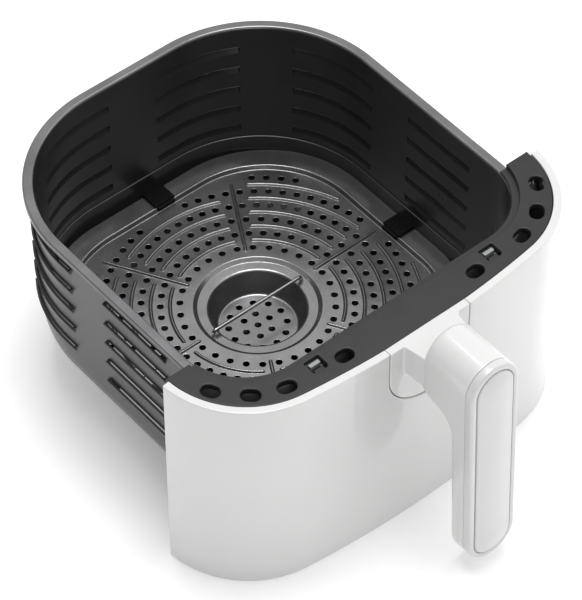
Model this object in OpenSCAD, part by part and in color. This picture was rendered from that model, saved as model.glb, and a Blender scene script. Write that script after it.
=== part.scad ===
// Pull-out frying basket of a hot-air fryer: a pressed pan with louvred walls, a lift-out
// perforated crisper tray, a plastic front collar, a moulded fascia and a hanging grip.
// Origin: centre of the pan's flat underside. -Y is the front (grip side), +Z is up.

/* [Pan] */
// Half of the inside width of the pan
pan_half_w = 113.5; // [112:0.5:118]
// Distance from the centre to the inside of the rear wall
pan_rear = 117.5; // [116:0.5:122]
// Distance from the centre to the inside of the front wall
pan_front = 118; // [117:0.5:120]
// Inside height of the rim above the underside
pan_h = 131.5; // [125:0.5:140]
// Inside corner radius at the rear
pan_rear_r = 81; // [70:1:90]
// Inside corner radius at the front
pan_front_r = 40; // [38:1:46]
// Outside radius between walls and floor
fillet_r = 35; // [30:1:37]
// Sheet thickness
sheet = 1.3; // [1:0.1:1.6]
// Width of the rim, from the inside of the wall to its outer edge
rim_w = 6.5; // [5:0.5:8]
// Depth of the turned-down rim edge
rim_drop = 3.5; // [2:0.5:5]

/* [Louvres] */
// Rows of louvres
louvre_rows = 5; // [3:1:5]
// Height of the top edge of the top row
louvre_top = 115.5; // [112:0.5:118]
// Distance between rows
louvre_pitch = 16.8; // [15:0.2:18]
// Height of one louvre
louvre_h = 5.1; // [4:0.1:6]
// How far the pressed strip stands off the wall
louvre_out = 2.2; // [1.5:0.1:3]
// Length of a straight side louvre
louvre_len = 55; // [40:1:58]

/* [Crisper tray] */
// Half of the width over the flange
tray_half_w = 112.2; // [110:0.1:112.4]
// Corner radius of the flange
tray_r = 75; // [70:1:80]
// Height of the top of the flange
tray_flange_z = 27.7; // [26:0.1:30]
// Height of the top of the perforated face
tray_face_z = 25.2; // [24:0.1:26]
// Half of the width of the perforated face
face_half_w = 97.6; // [95:0.1:99]
// Corner radius of the perforated face
face_r = 62; // [55:1:66]
// Thickness of the tray plate
tray_t = 1.5; // [1.2:0.1:2]
// Diameter of an air hole
hole_d = 4; // [3:0.1:5]
// Distance between holes along a row
hole_gap = 8.5; // [8:0.1:12]
// Radius of the first row of holes
first_row_r = 47; // [45:0.1:49]
// Distance between rows of holes
row_pitch = 11.7; // [11:0.1:12]
// Height of a rib above the face
rib_h = 0.8; // [0.4:0.1:1.5]
// Width of a rib
rib_w = 2.2; // [1.5:0.1:3]
// Radius of the sunken ring
ring_r = 39.1; // [38:0.1:41]
// Radius of the cup's mouth
cup_r = 29.3; // [26:0.1:31]
// Radius of the cup's floor
cup_floor_r = 24; // [20:0.1:25]
// Underside of the cup above the pan's underside
cup_z = 5.8; // [3:0.1:8]
// Diameter of the grab bar's wire
wire_d = 2.1; // [2:0.1:3]

/* [Front] */
// Top edge of the fascia
fascia_top = 137; // [136:0.5:140]
// Bottom edge of the fascia
fascia_bottom = -15; // [-20:0.5:-10]
// Half of the fascia's width
fascia_half_w = 139.5; // [138:0.5:142]
// Distance from the centre to the fascia's front face
fascia_front = 152; // [150:0.5:154]
// Corner radius of the fascia in plan
fascia_corner_r = 63; // [58:1:66]
// Radius of the bow of the front face
fascia_bow_r = 588; // [500:10:900]
// Where the sides of the fascia end
fascia_end_y = -88; // [-92:0.5:-86]
// Wall of the fascia
fascia_t = 2.8; // [2.4:0.1:3.5]
// Width of the fascia's top edge
fascia_edge_w = 5; // [4:0.1:5.5]
// Underside of the collar
collar_z = 131.6; // [131.5:0.1:132]
// Top face of the collar
collar_top = 136.4; // [135:0.1:136.8]
// Width of the collar's lip over the rim
collar_lip_w = 4.8; // [4:0.1:6]
// Length of an oval hole in the collar
oval_len = 11.5; // [9:0.1:13]
// Width of an oval hole in the collar
oval_w = 8.5; // [7:0.1:9]

/* [Grip] */
// Half of the width of the grip
grip_half_w = 17.5; // [16:0.1:19]
// Top of the grip
grip_top = 151; // [148:0.5:154]
// Bottom of the grip
grip_bottom = -8; // [-14:0.5:0]
// Half of the width of the neck
neck_half_w = 19; // [18:0.1:20]
// Half of the width of the base plate
base_half_w = 29.2; // [28:0.1:30]
// Height of the centre of the base plate's round end
base_round_z = 114.5; // [112:0.5:118]
// Gap between base plate and fascia
base_gap = 0.5; // [0.3:0.1:1]
// Wall of the grip
grip_wall = 2.8; // [2.4:0.1:3.5]

/* [Hidden] */
$fn = 96;
lean = 2.5;
front_c = [pan_half_w - pan_front_r, -(pan_front - pan_front_r)];
rear_c = [pan_half_w - pan_rear_r, pan_rear - pan_rear_r];
side_len = rear_c[1] - front_c[1];
side_mid = (rear_c[1] + front_c[1]) / 2;
side_louvre_y = -31.5;
corner_louvre_end = 36;
rear_louvre_start = 59;
rear_louvre_x = 17.8;
side_louvre_start_y = 28;
louvre_trim = 0.8;
web = [0.4, 2.2, 0.2, 0.6];

face_c = face_half_w - face_r;
row_count = 6;
rib_angles = [0, 60, 120, 180, 240, 300];
rib_gap = 6;
rib_reach = 57;
spoke_start = 6;
ring_z = tray_face_z - 1.9;
ring_in_r = 35.7;
cup_rows = [[0, 1], [9, 6], [18, 12]];
flange_step = face_half_w + tray_t;
bumper_w = 12;
bumper_head = 2;
bumper_lip = 1.6;
bumper_shift = 8;
wire_half = 34.4;

corner_y = -84;
corner_c = [fascia_half_w - fascia_corner_r, corner_y];
bow_overlap = 8;
bow_depth = 90;
far = 300;
bow_c = fascia_bow_r - fascia_front;
seat_front = 146.4;
panel_gap = 8.6;
panel_t = 2.4;
panel_face = pan_front + panel_gap;
panel_top = 131.4;
panel_floor_z = fascia_bottom + fascia_t;
bracket_t = 1.8;
bracket_crown = 28;
bracket_foot = 45;
bracket_z = [70, 126];
screw_r = 2;
screw_head = [3.6, 2.6];
screw_spots = [[-16, 117], [16, 117], [0, 95]];
insert_r = 3.2;
insert_len = 9;
boss_r = 5;
ovals = [[121, -107, 62], [106, -123.3, 45], [87, -131.4, 14], [48.4, -134.6, 3]];
window_x = 64.5;
window_y = -127.8;
window = [10, 8.6];
collar_screw_spots = [[-76, -139], [76, -139], [-129.5, -98], [129.5, -98]];
boss_z = 117.6;
post_r = 4;
pilot_depth = 12;
lip_t = 1.8;
lip_w = rim_w + 4;
collar_gap = 0.3;
collar_end = fascia_end_y + 3.5;
skirt_end = fascia_end_y + 1;
skirt_inset = fascia_edge_w + 2.6;
seat_side = 2;
seat_depth = 8;
seat_skirt = 14;
lug_t = 2.2;
small_r = 1.5;
small_head = [3, 1.6];
fit_gap = 0.05;
panel_spots = [[-96, -131.5], [-48, -140], [48, -140], [96, -131.5]];
panel_boss_top = 2;
shield_gap = 7.9;
shield_t = 0.6;
shield_z = [8, 126];
core_w = 16;
core_back = -192.2;
core_screw_z = [30, 100];
tongue_y = -164;
knee = [-171, 91];
knee_r = 18;
grip_back_y = knee[0] - knee_r;
grip_foot_y = -194;
split_y = -198.5;
front_y = -204;
grip_drop = (grip_top - grip_bottom) * tan(lean);

// Four-cornered outline with one radius at the front corners and one at the rear.
module rounded_plan(half_w, front, rear, front_r, rear_r) {
    for (s = [-1, 1]) {
        translate([s * (half_w - front_r), -front + front_r]) circle(front_r);
        translate([s * (half_w - rear_r), rear - rear_r]) circle(rear_r);
    }
    translate([-half_w, -front + front_r]) square([2 * half_w, front + rear - front_r - rear_r]);
    translate([front_r - half_w, -front]) square([2 * (half_w - front_r), front + rear - rear_r]);
    translate([rear_r - half_w, -front + front_r]) square([2 * (half_w - rear_r), front + rear - front_r]);
}

module pan_plan(grow) {
    rounded_plan(pan_half_w + grow, pan_front + grow, pan_rear + grow,
        pan_front_r + grow, pan_rear_r + grow);
}

module square_plan(half_w, r) {
    rounded_plan(half_w, half_w, half_w, r, r);
}

module fascia_plan(inset) {
    for (s = [-1, 1])
        translate([s * corner_c[0], corner_c[1]]) circle(fascia_corner_r - inset);
    intersection() {
        translate([0, bow_c]) circle(fascia_bow_r - inset, $fn = 360);
        translate([-corner_c[0] - bow_overlap, -fascia_front])
            square([2 * (corner_c[0] + bow_overlap), bow_depth]);
    }
}

module in_front_of(y) {
    intersection() {
        children();
        translate([-far, -far]) square([2 * far, far + y]);
    }
}

// Wall, floor fillet and turned-down rim, r is the inside radius about the corner's centre.
module wall_section(r) {
    bend = r + sheet - fillet_r;
    translate([r, fillet_r]) square([sheet, pan_h - fillet_r]);
    intersection() {
        difference() {
            translate([bend, fillet_r]) circle(fillet_r);
            translate([bend, fillet_r]) circle(fillet_r - sheet);
        }
        translate([bend, 0]) square(fillet_r);
    }
    translate([r, pan_h - sheet]) square([rim_w, sheet]);
    translate([r + rim_w - sheet, pan_h - rim_drop]) square([sheet, rim_drop]);
}

module wall_corner(c, r, turn) {
    translate([c[0], c[1], 0]) rotate([0, 0, turn]) rotate_extrude(angle = 90) wall_section(r);
}

module wall_straight(at, turn, len, r) {
    translate([at[0], at[1], 0]) rotate([0, 0, turn]) rotate([90, 0, 0])
        linear_extrude(height = len, center = true) wall_section(r);
}

module pan_side() {
    wall_corner(front_c, pan_front_r, -90);
    wall_straight([front_c[0], side_mid], 0, side_len, pan_front_r);
    wall_corner(rear_c, pan_rear_r, 0);
}

module pan_shell() {
    inset = fillet_r - sheet;
    linear_extrude(height = sheet) pan_plan(-inset);
    wall_straight([0, front_c[1]], -90, 2 * front_c[0], pan_front_r);
    wall_straight([0, rear_c[1]], 90, 2 * rear_c[0], pan_rear_r);
    pan_side();
    mirror([1, 0, 0]) pan_side();
}

// Strip pressed outwards, joined to the wall below the slot and open at its top.
module louvre_section(r) {
    root = r + sheet / 2;
    strip = r + louvre_out;
    low = -louvre_h;
    polygon([[root, low - web[0]], [root, low - web[1]], [strip + sheet, low - web[2]],
        [strip + sheet, 0], [strip, 0], [strip, low + web[3]]]);
}

module slot_section(r) {
    translate([r - 1, -louvre_h]) square([sheet + 1.5, louvre_h]);
}

// Turned about the rear corner, from the side wall or, with back = 1, from the rear wall.
module corner_sweep(angle, back) {
    translate([rear_c[0], rear_c[1], 0]) rotate([0, 0, 90 * back]) mirror([0, back, 0])
        rotate_extrude(angle = angle) children();
}

module side_run(y0, y1) {
    translate([pan_half_w - pan_rear_r, y1, 0]) rotate([90, 0, 0])
        linear_extrude(height = y1 - y0) children();
}

module rear_run(x0, x1) {
    translate([x0, pan_rear - pan_rear_r, 0]) rotate([0, 0, 90]) rotate([90, 0, 0])
        linear_extrude(height = x1 - x0) children();
}

// One row on one side of the pan, drawn in by trim at each end. children() is its section.
module louvre_row(trim) {
    turn = trim / pan_rear_r * 180 / PI;
    reach = louvre_len / 2 - trim;
    side_run(side_louvre_y - reach, side_louvre_y + reach) children();
    side_run(side_louvre_start_y + trim, rear_c[1]) children();
    corner_sweep(corner_louvre_end - turn, 0) children();
    corner_sweep(90 - rear_louvre_start - turn, 1) children();
    rear_run(rear_louvre_x + trim, rear_c[0]) children();
}

module louvres(trim) {
    for (side = [0, 1])
        for (i = [0 : louvre_rows - 1])
            mirror([side, 0, 0]) translate([0, 0, louvre_top - i * louvre_pitch])
                louvre_row(trim) children();
}

module pan() {
    color("#35363a") difference() {
        union() {
            pan_shell();
            louvres(0) louvre_section(pan_rear_r);
        }
        louvres(louvre_trim) slot_section(pan_rear_r);
    }
}

function row_r(i) = first_row_r + i * row_pitch;

function holes_in(i) = floor(2 * PI * row_r(i) / hole_gap / 6) * 6;

// True where a hole lies wholly on the perforated face.
function on_face(x, y, room) = let (dx = abs(x) - face_c, dy = abs(y) - face_c)
    max(abs(x), abs(y)) <= face_half_w - room
    && (dx < 0 || dy < 0 || norm([dx, dy]) <= face_r - room);

module hole_pattern() {
    for (i = [0 : row_count - 1])
        for (k = [0 : holes_in(i) - 1]) {
            a = 360 * (k + 0.5) / holes_in(i);
            x = row_r(i) * cos(a);
            y = row_r(i) * sin(a);
            if (on_face(x, y, hole_d / 2 + 0.8)) translate([x, y]) circle(d = hole_d, $fn = 24);
        }
}

module cup_holes() {
    for (row = cup_rows)
        for (k = [0 : row[1] - 1])
            rotate(360 * k / row[1]) translate([row[0], 0]) circle(d = hole_d, $fn = 24);
}

module bumper_notch() {
    translate([bumper_shift - bumper_w / 2, flange_step])
        square([bumper_w, tray_half_w - flange_step + 1]);
}

// Wedge that parts the curved ribs on either side of a straight one.
module rib_break() {
    reach = 2 * face_half_w;
    polygon([[0, 0], reach * [cos(rib_gap), -sin(rib_gap)], reach * [cos(rib_gap), sin(rib_gap)]]);
}

module tray_ribs() {
    ring_start = first_row_r + row_pitch / 2;
    linear_extrude(height = rib_h) intersection() {
        square_plan(face_half_w - 1.5, face_r - 1.5);
        union() {
            for (i = [0 : row_count - 2])
                difference() {
                    circle(ring_start + i * row_pitch + rib_w / 2);
                    circle(ring_start + i * row_pitch - rib_w / 2);
                    for (a = rib_angles) rotate(a) rib_break();
                }
            for (a = rib_angles)
                rotate(a) translate([ring_r + spoke_start, -rib_w / 2]) square([rib_reach, rib_w]);
        }
    }
}

// Sunken ring and the cup's side, as one turned section.
module cup_section() {
    mouth = ring_z - 2;
    under = tray_face_z - tray_t;
    polygon([[ring_r, under], [ring_r, tray_face_z], [ring_in_r, ring_z], [cup_r, mouth],
        [cup_floor_r, cup_z + tray_t], [cup_floor_r - 3, cup_z + tray_t], [cup_floor_r - 3, cup_z],
        [cup_floor_r + 1, cup_z], [cup_r + 1, mouth - tray_t + 0.3], [ring_in_r + 0.6, ring_z - tray_t]]);
}

module crisper_tray() {
    under = tray_face_z - tray_t;
    color("#6e7074") difference() {
        union() {
            translate([0, 0, under]) linear_extrude(height = tray_t) difference() {
                square_plan(face_half_w, face_r);
                circle(ring_r);
                hole_pattern();
            }
            translate([0, 0, under]) linear_extrude(height = tray_flange_z - under) difference() {
                square_plan(face_half_w + tray_t, face_r + tray_t);
                square_plan(face_half_w, face_r);
            }
            translate([0, 0, tray_flange_z - tray_t]) linear_extrude(height = tray_t) difference() {
                square_plan(tray_half_w, tray_r);
                square_plan(face_half_w + tray_t, face_r + tray_t);
            }
            translate([0, 0, tray_face_z]) tray_ribs();
            rotate_extrude() cup_section();
            translate([0, 0, cup_z]) linear_extrude(height = tray_t) difference() {
                circle(cup_floor_r - 3);
                cup_holes();
            }
        }
        for (turn = [0 : 90 : 270])
            rotate([0, 0, turn]) translate([0, 0, tray_flange_z - tray_t - 1])
                linear_extrude(height = tray_t + 2) bumper_notch();
    }
}

// Straight bar over the cup with its two ends turned down onto the sunken ring.
module grab_wire() {
    r = wire_d / 2;
    bend = 2.4;
    bar = tray_face_z + 1.2;
    foot = ring_z;
    color("#c9ccd0") {
        translate([bend - wire_half, 0, bar]) rotate([0, 90, 0])
            cylinder(r = r, h = 2 * (wire_half - bend));
        for (s = [0, 1])
            mirror([s, 0, 0]) {
                translate([wire_half - bend, 0, bar - bend]) rotate([90, 0, 0])
                    rotate_extrude(angle = 90) translate([bend, 0]) circle(r);
                translate([wire_half, 0, foot]) cylinder(r = r, h = bar - bend - foot);
            }
    }
}

module bumper_pad(inner, outer) {
    translate([bumper_shift - bumper_w / 2 - bumper_lip, inner])
        square([bumper_w + 2 * bumper_lip, outer - inner]);
}

// Silicone clip that fills its notch in the flange, with a head above and a foot below.
module bumper(turn) {
    under = tray_flange_z - tray_t;
    color("#1b1b1d") rotate([0, 0, turn]) {
        translate([0, 0, under]) linear_extrude(height = tray_t)
            translate([bumper_shift - bumper_w / 2, flange_step])
                square([bumper_w, tray_half_w - flange_step]);
        translate([0, 0, tray_flange_z]) linear_extrude(height = bumper_head)
            bumper_pad(flange_step - 0.9, tray_half_w + 0.2);
        translate([0, 0, under - bumper_head]) linear_extrude(height = bumper_head)
            bumper_pad(flange_step + 0.2, tray_half_w - 1);
    }
}

module bumper_front() { bumper(180); }
module bumper_rear() { bumper(0); }
module bumper_left() { bumper(90); }
module bumper_right() { bumper(270); }

module oval(spot) {
    reach = (oval_len - oval_w) / 2;
    translate([spot[0], spot[1]]) rotate(spot[2]) {
        for (s = [-1, 1]) translate([s * reach, 0]) circle(d = oval_w);
        translate([-reach, -oval_w / 2]) square([2 * reach, oval_w]);
    }
}

// Room for the grip's base plate.
module seat_cut(depth) {
    reach = base_half_w + seat_side;
    translate([-reach, -seat_front - seat_depth]) square([2 * reach, depth]);
}

module collar_plate() {
    difference() {
        in_front_of(collar_end) fascia_plan(fascia_edge_w + collar_gap);
        pan_plan(collar_lip_w);
        for (s = [0, 1]) mirror([s, 0]) for (spot = ovals) oval(spot);
        window_plan();
        seat_cut(seat_depth);
    }
}

module window_plan() {
    for (x = [-window_x, window_x])
        translate([x - window[0] / 2, window_y - window[1] / 2]) square(window);
}

// Raised plate, lowered lip over the pan's rim and a skirt inside the fascia.
module collar() {
    color("#4c4d50") difference() {
        union() {
            translate([0, 0, collar_z + lip_t]) linear_extrude(height = collar_top - collar_z - lip_t)
                collar_plate();
            translate([0, 0, collar_z]) linear_extrude(height = lip_t) difference() {
                in_front_of(collar_end) pan_plan(lip_w);
                pan_plan(0.2);
                window_plan();
            }
            translate([0, 0, boss_z]) linear_extrude(height = collar_z + lip_t - boss_z) difference() {
                in_front_of(skirt_end) fascia_plan(fascia_edge_w + collar_gap);
                fascia_plan(skirt_inset);
                seat_cut(seat_skirt);
            }
            translate([0, 0, boss_z]) linear_extrude(height = collar_z + lip_t - boss_z) intersection() {
                fascia_plan(fascia_edge_w + collar_gap);
                for (spot = collar_screw_spots) translate(spot) circle(post_r);
            }
        }
        for (spot = collar_screw_spots)
            translate([spot[0], spot[1], boss_z - 1]) cylinder(r = small_r + fit_gap, h = pilot_depth);
    }
}

module notch_plan(grow) {
    translate([0, base_round_z]) circle(base_half_w + grow);
    translate([-base_half_w - grow, base_round_z]) square([2 * (base_half_w + grow), 60]);
}

// Upright slab between two y values, children() is its outline in X and Z.
module slab(y0, y1) {
    translate([0, y1, 0]) rotate([90, 0, 0]) linear_extrude(height = y1 - y0) children();
}

module fascia() {
    color("#f2f2f0") difference() {
        union() {
            translate([0, 0, fascia_bottom]) linear_extrude(height = fascia_top - fascia_bottom)
                difference() {
                    in_front_of(fascia_end_y) fascia_plan(0);
                    fascia_plan(fascia_t);
                }
            translate([0, 0, fascia_top - 6]) linear_extrude(height = 6) difference() {
                in_front_of(fascia_end_y) fascia_plan(0);
                fascia_plan(fascia_edge_w);
            }
            translate([0, 0, fascia_bottom]) linear_extrude(height = fascia_t) difference() {
                in_front_of(fascia_end_y) fascia_plan(0);
                pan_plan(panel_gap + panel_t + 0.2);
            }
        }
        slab(-fascia_front - 5, -seat_front + 6) notch_plan(base_gap);
        for (spot = panel_spots) translate([spot[0], spot[1], fascia_bottom - 1]) {
            cylinder(r = small_r + 0.3, h = fascia_t + 2);
            cylinder(r = small_head[0] + 0.3, h = 1 + small_head[1] + 0.2);
        }
    }
}

module lug(spot) {
    inward = abs(spot[0]) > 100 ? [-sign(spot[0]), 0] : [0, 1];
    translate(spot) circle(4.5);
    translate(spot + inward * 5) square(abs(inward[0]) > 0 ? [10, 9] : [9, 10], center = true);
}

// Grey inner shell that follows the pan and closes the back of the fascia.
module inner_panel() {
    depth = panel_gap + panel_t;
    color("#8d8f92") difference() {
        union() {
            translate([0, 0, panel_floor_z]) linear_extrude(height = panel_top - panel_floor_z)
                difference() {
                    in_front_of(fascia_end_y + 3) pan_plan(depth);
                    pan_plan(panel_gap);
                }
            translate([0, 0, panel_floor_z]) linear_extrude(height = 2) difference() {
                in_front_of(fascia_end_y) fascia_plan(fascia_t + 0.2);
                pan_plan(panel_gap + 1);
            }
            translate([0, 0, panel_floor_z]) linear_extrude(height = boss_z - panel_floor_z - 4)
                difference() {
                    in_front_of(fascia_end_y) fascia_plan(fascia_t + 0.2);
                    in_front_of(fascia_end_y - panel_t) fascia_plan(fascia_t);
                    pan_plan(panel_gap + 1);
                }
            translate([0, 0, boss_z - lug_t]) linear_extrude(height = lug_t) difference() {
                for (spot = collar_screw_spots) lug(spot);
                pan_plan(panel_gap + 1);
            }
            for (spot = panel_spots)
                translate([spot[0], spot[1], panel_floor_z])
                    cylinder(r = 3.5, h = panel_boss_top - panel_floor_z);
            for (x = [-window_x, window_x])
                translate([x - 3.5, -pan_front - depth, panel_top - 2]) cube([7, panel_t, 6]);
        }
        for (spot = screw_spots)
            translate([spot[0], -panel_face + 1, spot[1]]) rotate([90, 0, 0])
                cylinder(r = screw_r + 0.3, h = panel_t + 2);
        for (spot = collar_screw_spots)
            translate([spot[0], spot[1], boss_z - lug_t - 1]) cylinder(r = small_r + 0.3, h = lug_t + 2);
        for (spot = panel_spots)
            translate([spot[0], spot[1], panel_floor_z - 1]) cylinder(r = small_r + fit_gap, h = pilot_depth);
    }
}

// Thin steel sheet between the pan and the inner panel, open where the bracket passes.
module heat_shield() {
    color("#c3c6c9") difference() {
        translate([0, 0, shield_z[0]]) linear_extrude(height = shield_z[1] - shield_z[0]) difference() {
            in_front_of(fascia_end_y) pan_plan(shield_gap + shield_t);
            pan_plan(shield_gap);
        }
        translate([-bracket_crown - 3, -pan_front - 20, bracket_z[0] - 4])
            cube([2 * bracket_crown + 6, 20, 80]);
    }
}

// Folded steel hat that carries the grip's load into the pan's front wall.
module pan_bracket() {
    back = -pan_front - sheet;
    face = -panel_face;
    h = bracket_z[1] - bracket_z[0];
    color("#b4b7ba") difference() {
        translate([0, 0, bracket_z[0]]) linear_extrude(height = h) {
            for (s = [0, 1])
                mirror([s, 0]) {
                    translate([bracket_crown - bracket_t, back - bracket_t])
                        square([bracket_foot - bracket_crown + bracket_t, bracket_t]);
                    translate([bracket_crown - bracket_t, face]) square([bracket_t, back - face]);
                }
            translate([-bracket_crown, face]) square([2 * bracket_crown, bracket_t]);
        }
        for (spot = screw_spots)
            translate([spot[0], face + bracket_t + 1, spot[1]]) rotate([90, 0, 0])
                cylinder(r = screw_r + 0.3, h = bracket_t + 2);
    }
}

// Side view of arm and grip in Y and Z, with the underside turned down into the grip.
module grip_profile(trim, front) {
    difference() {
        polygon([[tongue_y, grip_top + 1], [front, grip_top + 1], [front - grip_drop, grip_bottom - 1],
            [grip_foot_y - trim, grip_bottom - 1], [grip_back_y - trim, knee[1]], [knee[0], knee[1]],
            [knee[0], knee[1] + knee_r + trim], [tongue_y, knee[1] + knee_r + trim]]);
        translate(knee) circle(knee_r + trim);
    }
}

// Front view of the grip: a bar with round ends.
module stadium(r) {
    top = grip_top - grip_half_w;
    bottom = grip_bottom + grip_half_w;
    translate([0, top]) circle(r);
    translate([0, bottom]) circle(r);
    translate([-r, bottom]) square([2 * r, top - bottom]);
}

// Solid of a side profile given as children(), centred on X.
module across(width) {
    rotate([90, 0, 90]) linear_extrude(height = width, center = true) children();
}

module grip_solid(inset, trim, front) {
    intersection() {
        across(2 * (grip_half_w - inset)) grip_profile(trim, front);
        slab(-240, -140) stadium(grip_half_w - inset);
    }
}

// Base plate in the fascia's notch, flat-topped neck, arm and grip, hollow behind the cover.
module handle_body() {
    neck_floor = 109;
    seat = -panel_face - panel_t;
    color("#f4f4f2") difference() {
        union() {
            grip_solid(0, 0, split_y);
            slab(-fascia_front + 0.5, -seat_front) intersection() {
                notch_plan(0);
                translate([-50, 0]) square([100, fascia_top]);
            }
            slab(tongue_y, -fascia_front + 1) translate([-neck_half_w, neck_floor])
                square([2 * neck_half_w, fascia_top - neck_floor]);
            for (spot = screw_spots)
                translate([spot[0], seat, spot[1]]) rotate([90, 0, 0])
                    cylinder(r = boss_r, h = seat_front + 1 + seat);
        }
        intersection() {
            across(2 * (grip_half_w - grip_wall)) grip_profile(grip_wall, split_y - 5);
            slab(-240, tongue_y - grip_wall) stadium(grip_half_w - grip_wall);
        }
        slab(tongue_y - grip_wall - 1, -fascia_front + 1) translate([-12, neck_floor + grip_wall])
            square([24, fascia_top - neck_floor - 2 * grip_wall]);
        for (spot = screw_spots)
            translate([spot[0], seat + 1, spot[1]]) rotate([90, 0, 0])
                cylinder(r = insert_r + fit_gap, h = insert_len + 1);
        for (z = core_screw_z) core_screw_at(z) cylinder(r = screw_r + fit_gap, h = 12, center = true);
    }
}

module handle_cover() {
    top = grip_top + 1;
    back = split_y - 0.2;
    color("#ececea") intersection() {
        across(2 * grip_half_w) polygon([[back, top], [front_y, top],
            [front_y - grip_drop, grip_bottom - 1], [back - grip_drop, grip_bottom - 1]]);
        slab(-240, -140) stadium(grip_half_w);
    }
}

// Places children() on the core's front face at height z, their +Z pointing out of the grip.
module core_screw_at(z) {
    translate([0, core_back - 2 - (129 - z) * tan(lean), z]) rotate([90 - lean, 0, 0]) children();
}

// Flat steel bar bent from the arm down into the grip.
module handle_core() {
    top = 129;
    foot = 12;
    drop = (top - foot) * tan(lean);
    color("#aeb1b5") difference() {
        across(core_w) polygon([[-154, top - 2], [-154, top], [core_back - 2, top],
            [core_back - 2 - drop, foot], [core_back - drop, foot], [core_back, top - 2]]);
        for (z = core_screw_z) core_screw_at(z) cylinder(r = screw_r + 0.3, h = 8, center = true);
    }
}

module handle_inserts() {
    seat = -panel_face - panel_t;
    color("#c8a24a") for (spot = screw_spots)
        translate([spot[0], seat, spot[1]]) rotate([90, 0, 0]) difference() {
            cylinder(r = insert_r, h = insert_len);
            translate([0, 0, -1]) cylinder(r = screw_r + fit_gap, h = insert_len + 2);
        }
}

// Pan-head screw pointing along +Z, its head below the origin.
module screw(r, length, head) {
    cylinder(r = r, h = length);
    translate([0, 0, -head[1]]) cylinder(r = head[0], h = head[1]);
}

module handle_screws() {
    color("#9a9da1") for (spot = screw_spots)
        translate([spot[0], -panel_face + bracket_t, spot[1]]) rotate([90, 0, 0])
            screw(screw_r, 13, screw_head);
}

module core_screws() {
    color("#9a9da1") for (z = core_screw_z)
        core_screw_at(z) mirror([0, 0, 1]) screw(screw_r, 4.4, [3.4, 2]);
}

module collar_screws() {
    color("#9a9da1") for (spot = collar_screw_spots)
        translate([spot[0], spot[1], boss_z - lug_t]) screw(small_r, 10, small_head);
}

module panel_screws() {
    color("#9a9da1") for (spot = panel_spots)
        translate([spot[0], spot[1], fascia_bottom + small_head[1] + 0.2]) screw(small_r, 10, small_head);
}

pan();
crisper_tray();
grab_wire();
bumper_front();
bumper_rear();
bumper_left();
bumper_right();
collar();
fascia();
inner_panel();
heat_shield();
pan_bracket();
handle_body();
handle_cover();
handle_core();
handle_inserts();
handle_screws();
core_screws();
collar_screws();
panel_screws();
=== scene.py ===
"""Looks of a pull-out hot-air frying basket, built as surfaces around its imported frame.

Sizes are in millimetres and in the part's own frame: +Z up, the grip towards -Y. Meshes are written in
metres. Every shape is worked out as whole arrays: a closed plan carried through a profile, a section turned
about an axis, or a flat region between closed lines that is filled and then placed.
"""

import logging
import math
from collections.abc import Callable, Sequence
from dataclasses import dataclass, field
from enum import Enum

import bmesh
import bpy
import numpy as np
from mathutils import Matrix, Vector
from mathutils.geometry import delaunay_2d_cdt


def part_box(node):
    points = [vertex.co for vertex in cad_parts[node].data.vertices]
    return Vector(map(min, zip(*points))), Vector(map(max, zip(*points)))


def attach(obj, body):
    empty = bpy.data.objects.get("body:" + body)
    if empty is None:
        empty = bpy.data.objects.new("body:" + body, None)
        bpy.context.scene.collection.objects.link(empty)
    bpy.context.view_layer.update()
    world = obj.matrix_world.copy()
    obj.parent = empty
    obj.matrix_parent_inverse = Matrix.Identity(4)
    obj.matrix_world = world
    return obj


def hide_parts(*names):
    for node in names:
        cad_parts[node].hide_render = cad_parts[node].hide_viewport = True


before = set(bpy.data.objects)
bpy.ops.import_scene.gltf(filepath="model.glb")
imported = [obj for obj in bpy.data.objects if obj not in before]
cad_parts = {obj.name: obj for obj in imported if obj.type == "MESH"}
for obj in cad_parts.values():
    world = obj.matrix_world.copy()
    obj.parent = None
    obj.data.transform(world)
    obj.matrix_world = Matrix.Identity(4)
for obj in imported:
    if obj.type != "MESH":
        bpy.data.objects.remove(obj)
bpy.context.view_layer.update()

logging.basicConfig(level=logging.INFO, format="%(message)s")
log = logging.getLogger("basket")

MM = 0.001
WELD = 0.002
SHARP_DEG = 38.0
LINE_STEP = 2.5
Lift = Callable[[np.ndarray, np.ndarray], np.ndarray]


class Body(Enum):
    """Moving bodies of the frame."""

    FIXED = "root"
    TRAY = "tray"


class Slot(Enum):
    """Material slots of the record."""

    PAN = "nonstick_pan"
    TRAY = "nonstick_tray"
    WIRE = "bright_wire"
    SILICONE = "black_silicone"
    DARK = "dark_plastic"
    WHITE = "white_plastic"
    COVER = "cover_plastic"
    GREY = "grey_plastic"
    ZINC = "galvanised_sheet"
    BRASS = "brass"
    STEEL = "screw_steel"


# ---------------------------------------------------------------- lines


def node_box(name: str) -> np.ndarray:
    """Box of a CAD node at rest.

    Args:
        name: The node's name.

    Returns:
        Lowest and highest corner, in millimetres, as a (2, 3) array.
    """
    return np.array(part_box(name), float) / MM


def arc(centre: Sequence[float], radius: float, start: float, end: float, count: int) -> np.ndarray:
    """Points of an arc: the centre plus the radius times the cosine and sine of even angles.

    Args:
        centre: Centre of the arc.
        radius: Its radius.
        start: First angle in degrees.
        end: Last angle in degrees, included.
        count: Number of points.

    Returns:
        (count, 2) array.
    """
    a = np.radians(np.linspace(start, end, count))
    return np.asarray(centre, float) + radius * np.stack([np.cos(a), np.sin(a)], 1)


def circle(radius: float, count: int, centre: Sequence[float] = (0, 0)) -> np.ndarray:
    """Closed circle as (count, 2) points, anticlockwise from +X."""
    return arc(centre, radius, 0, 360, count + 1)[:-1]


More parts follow.
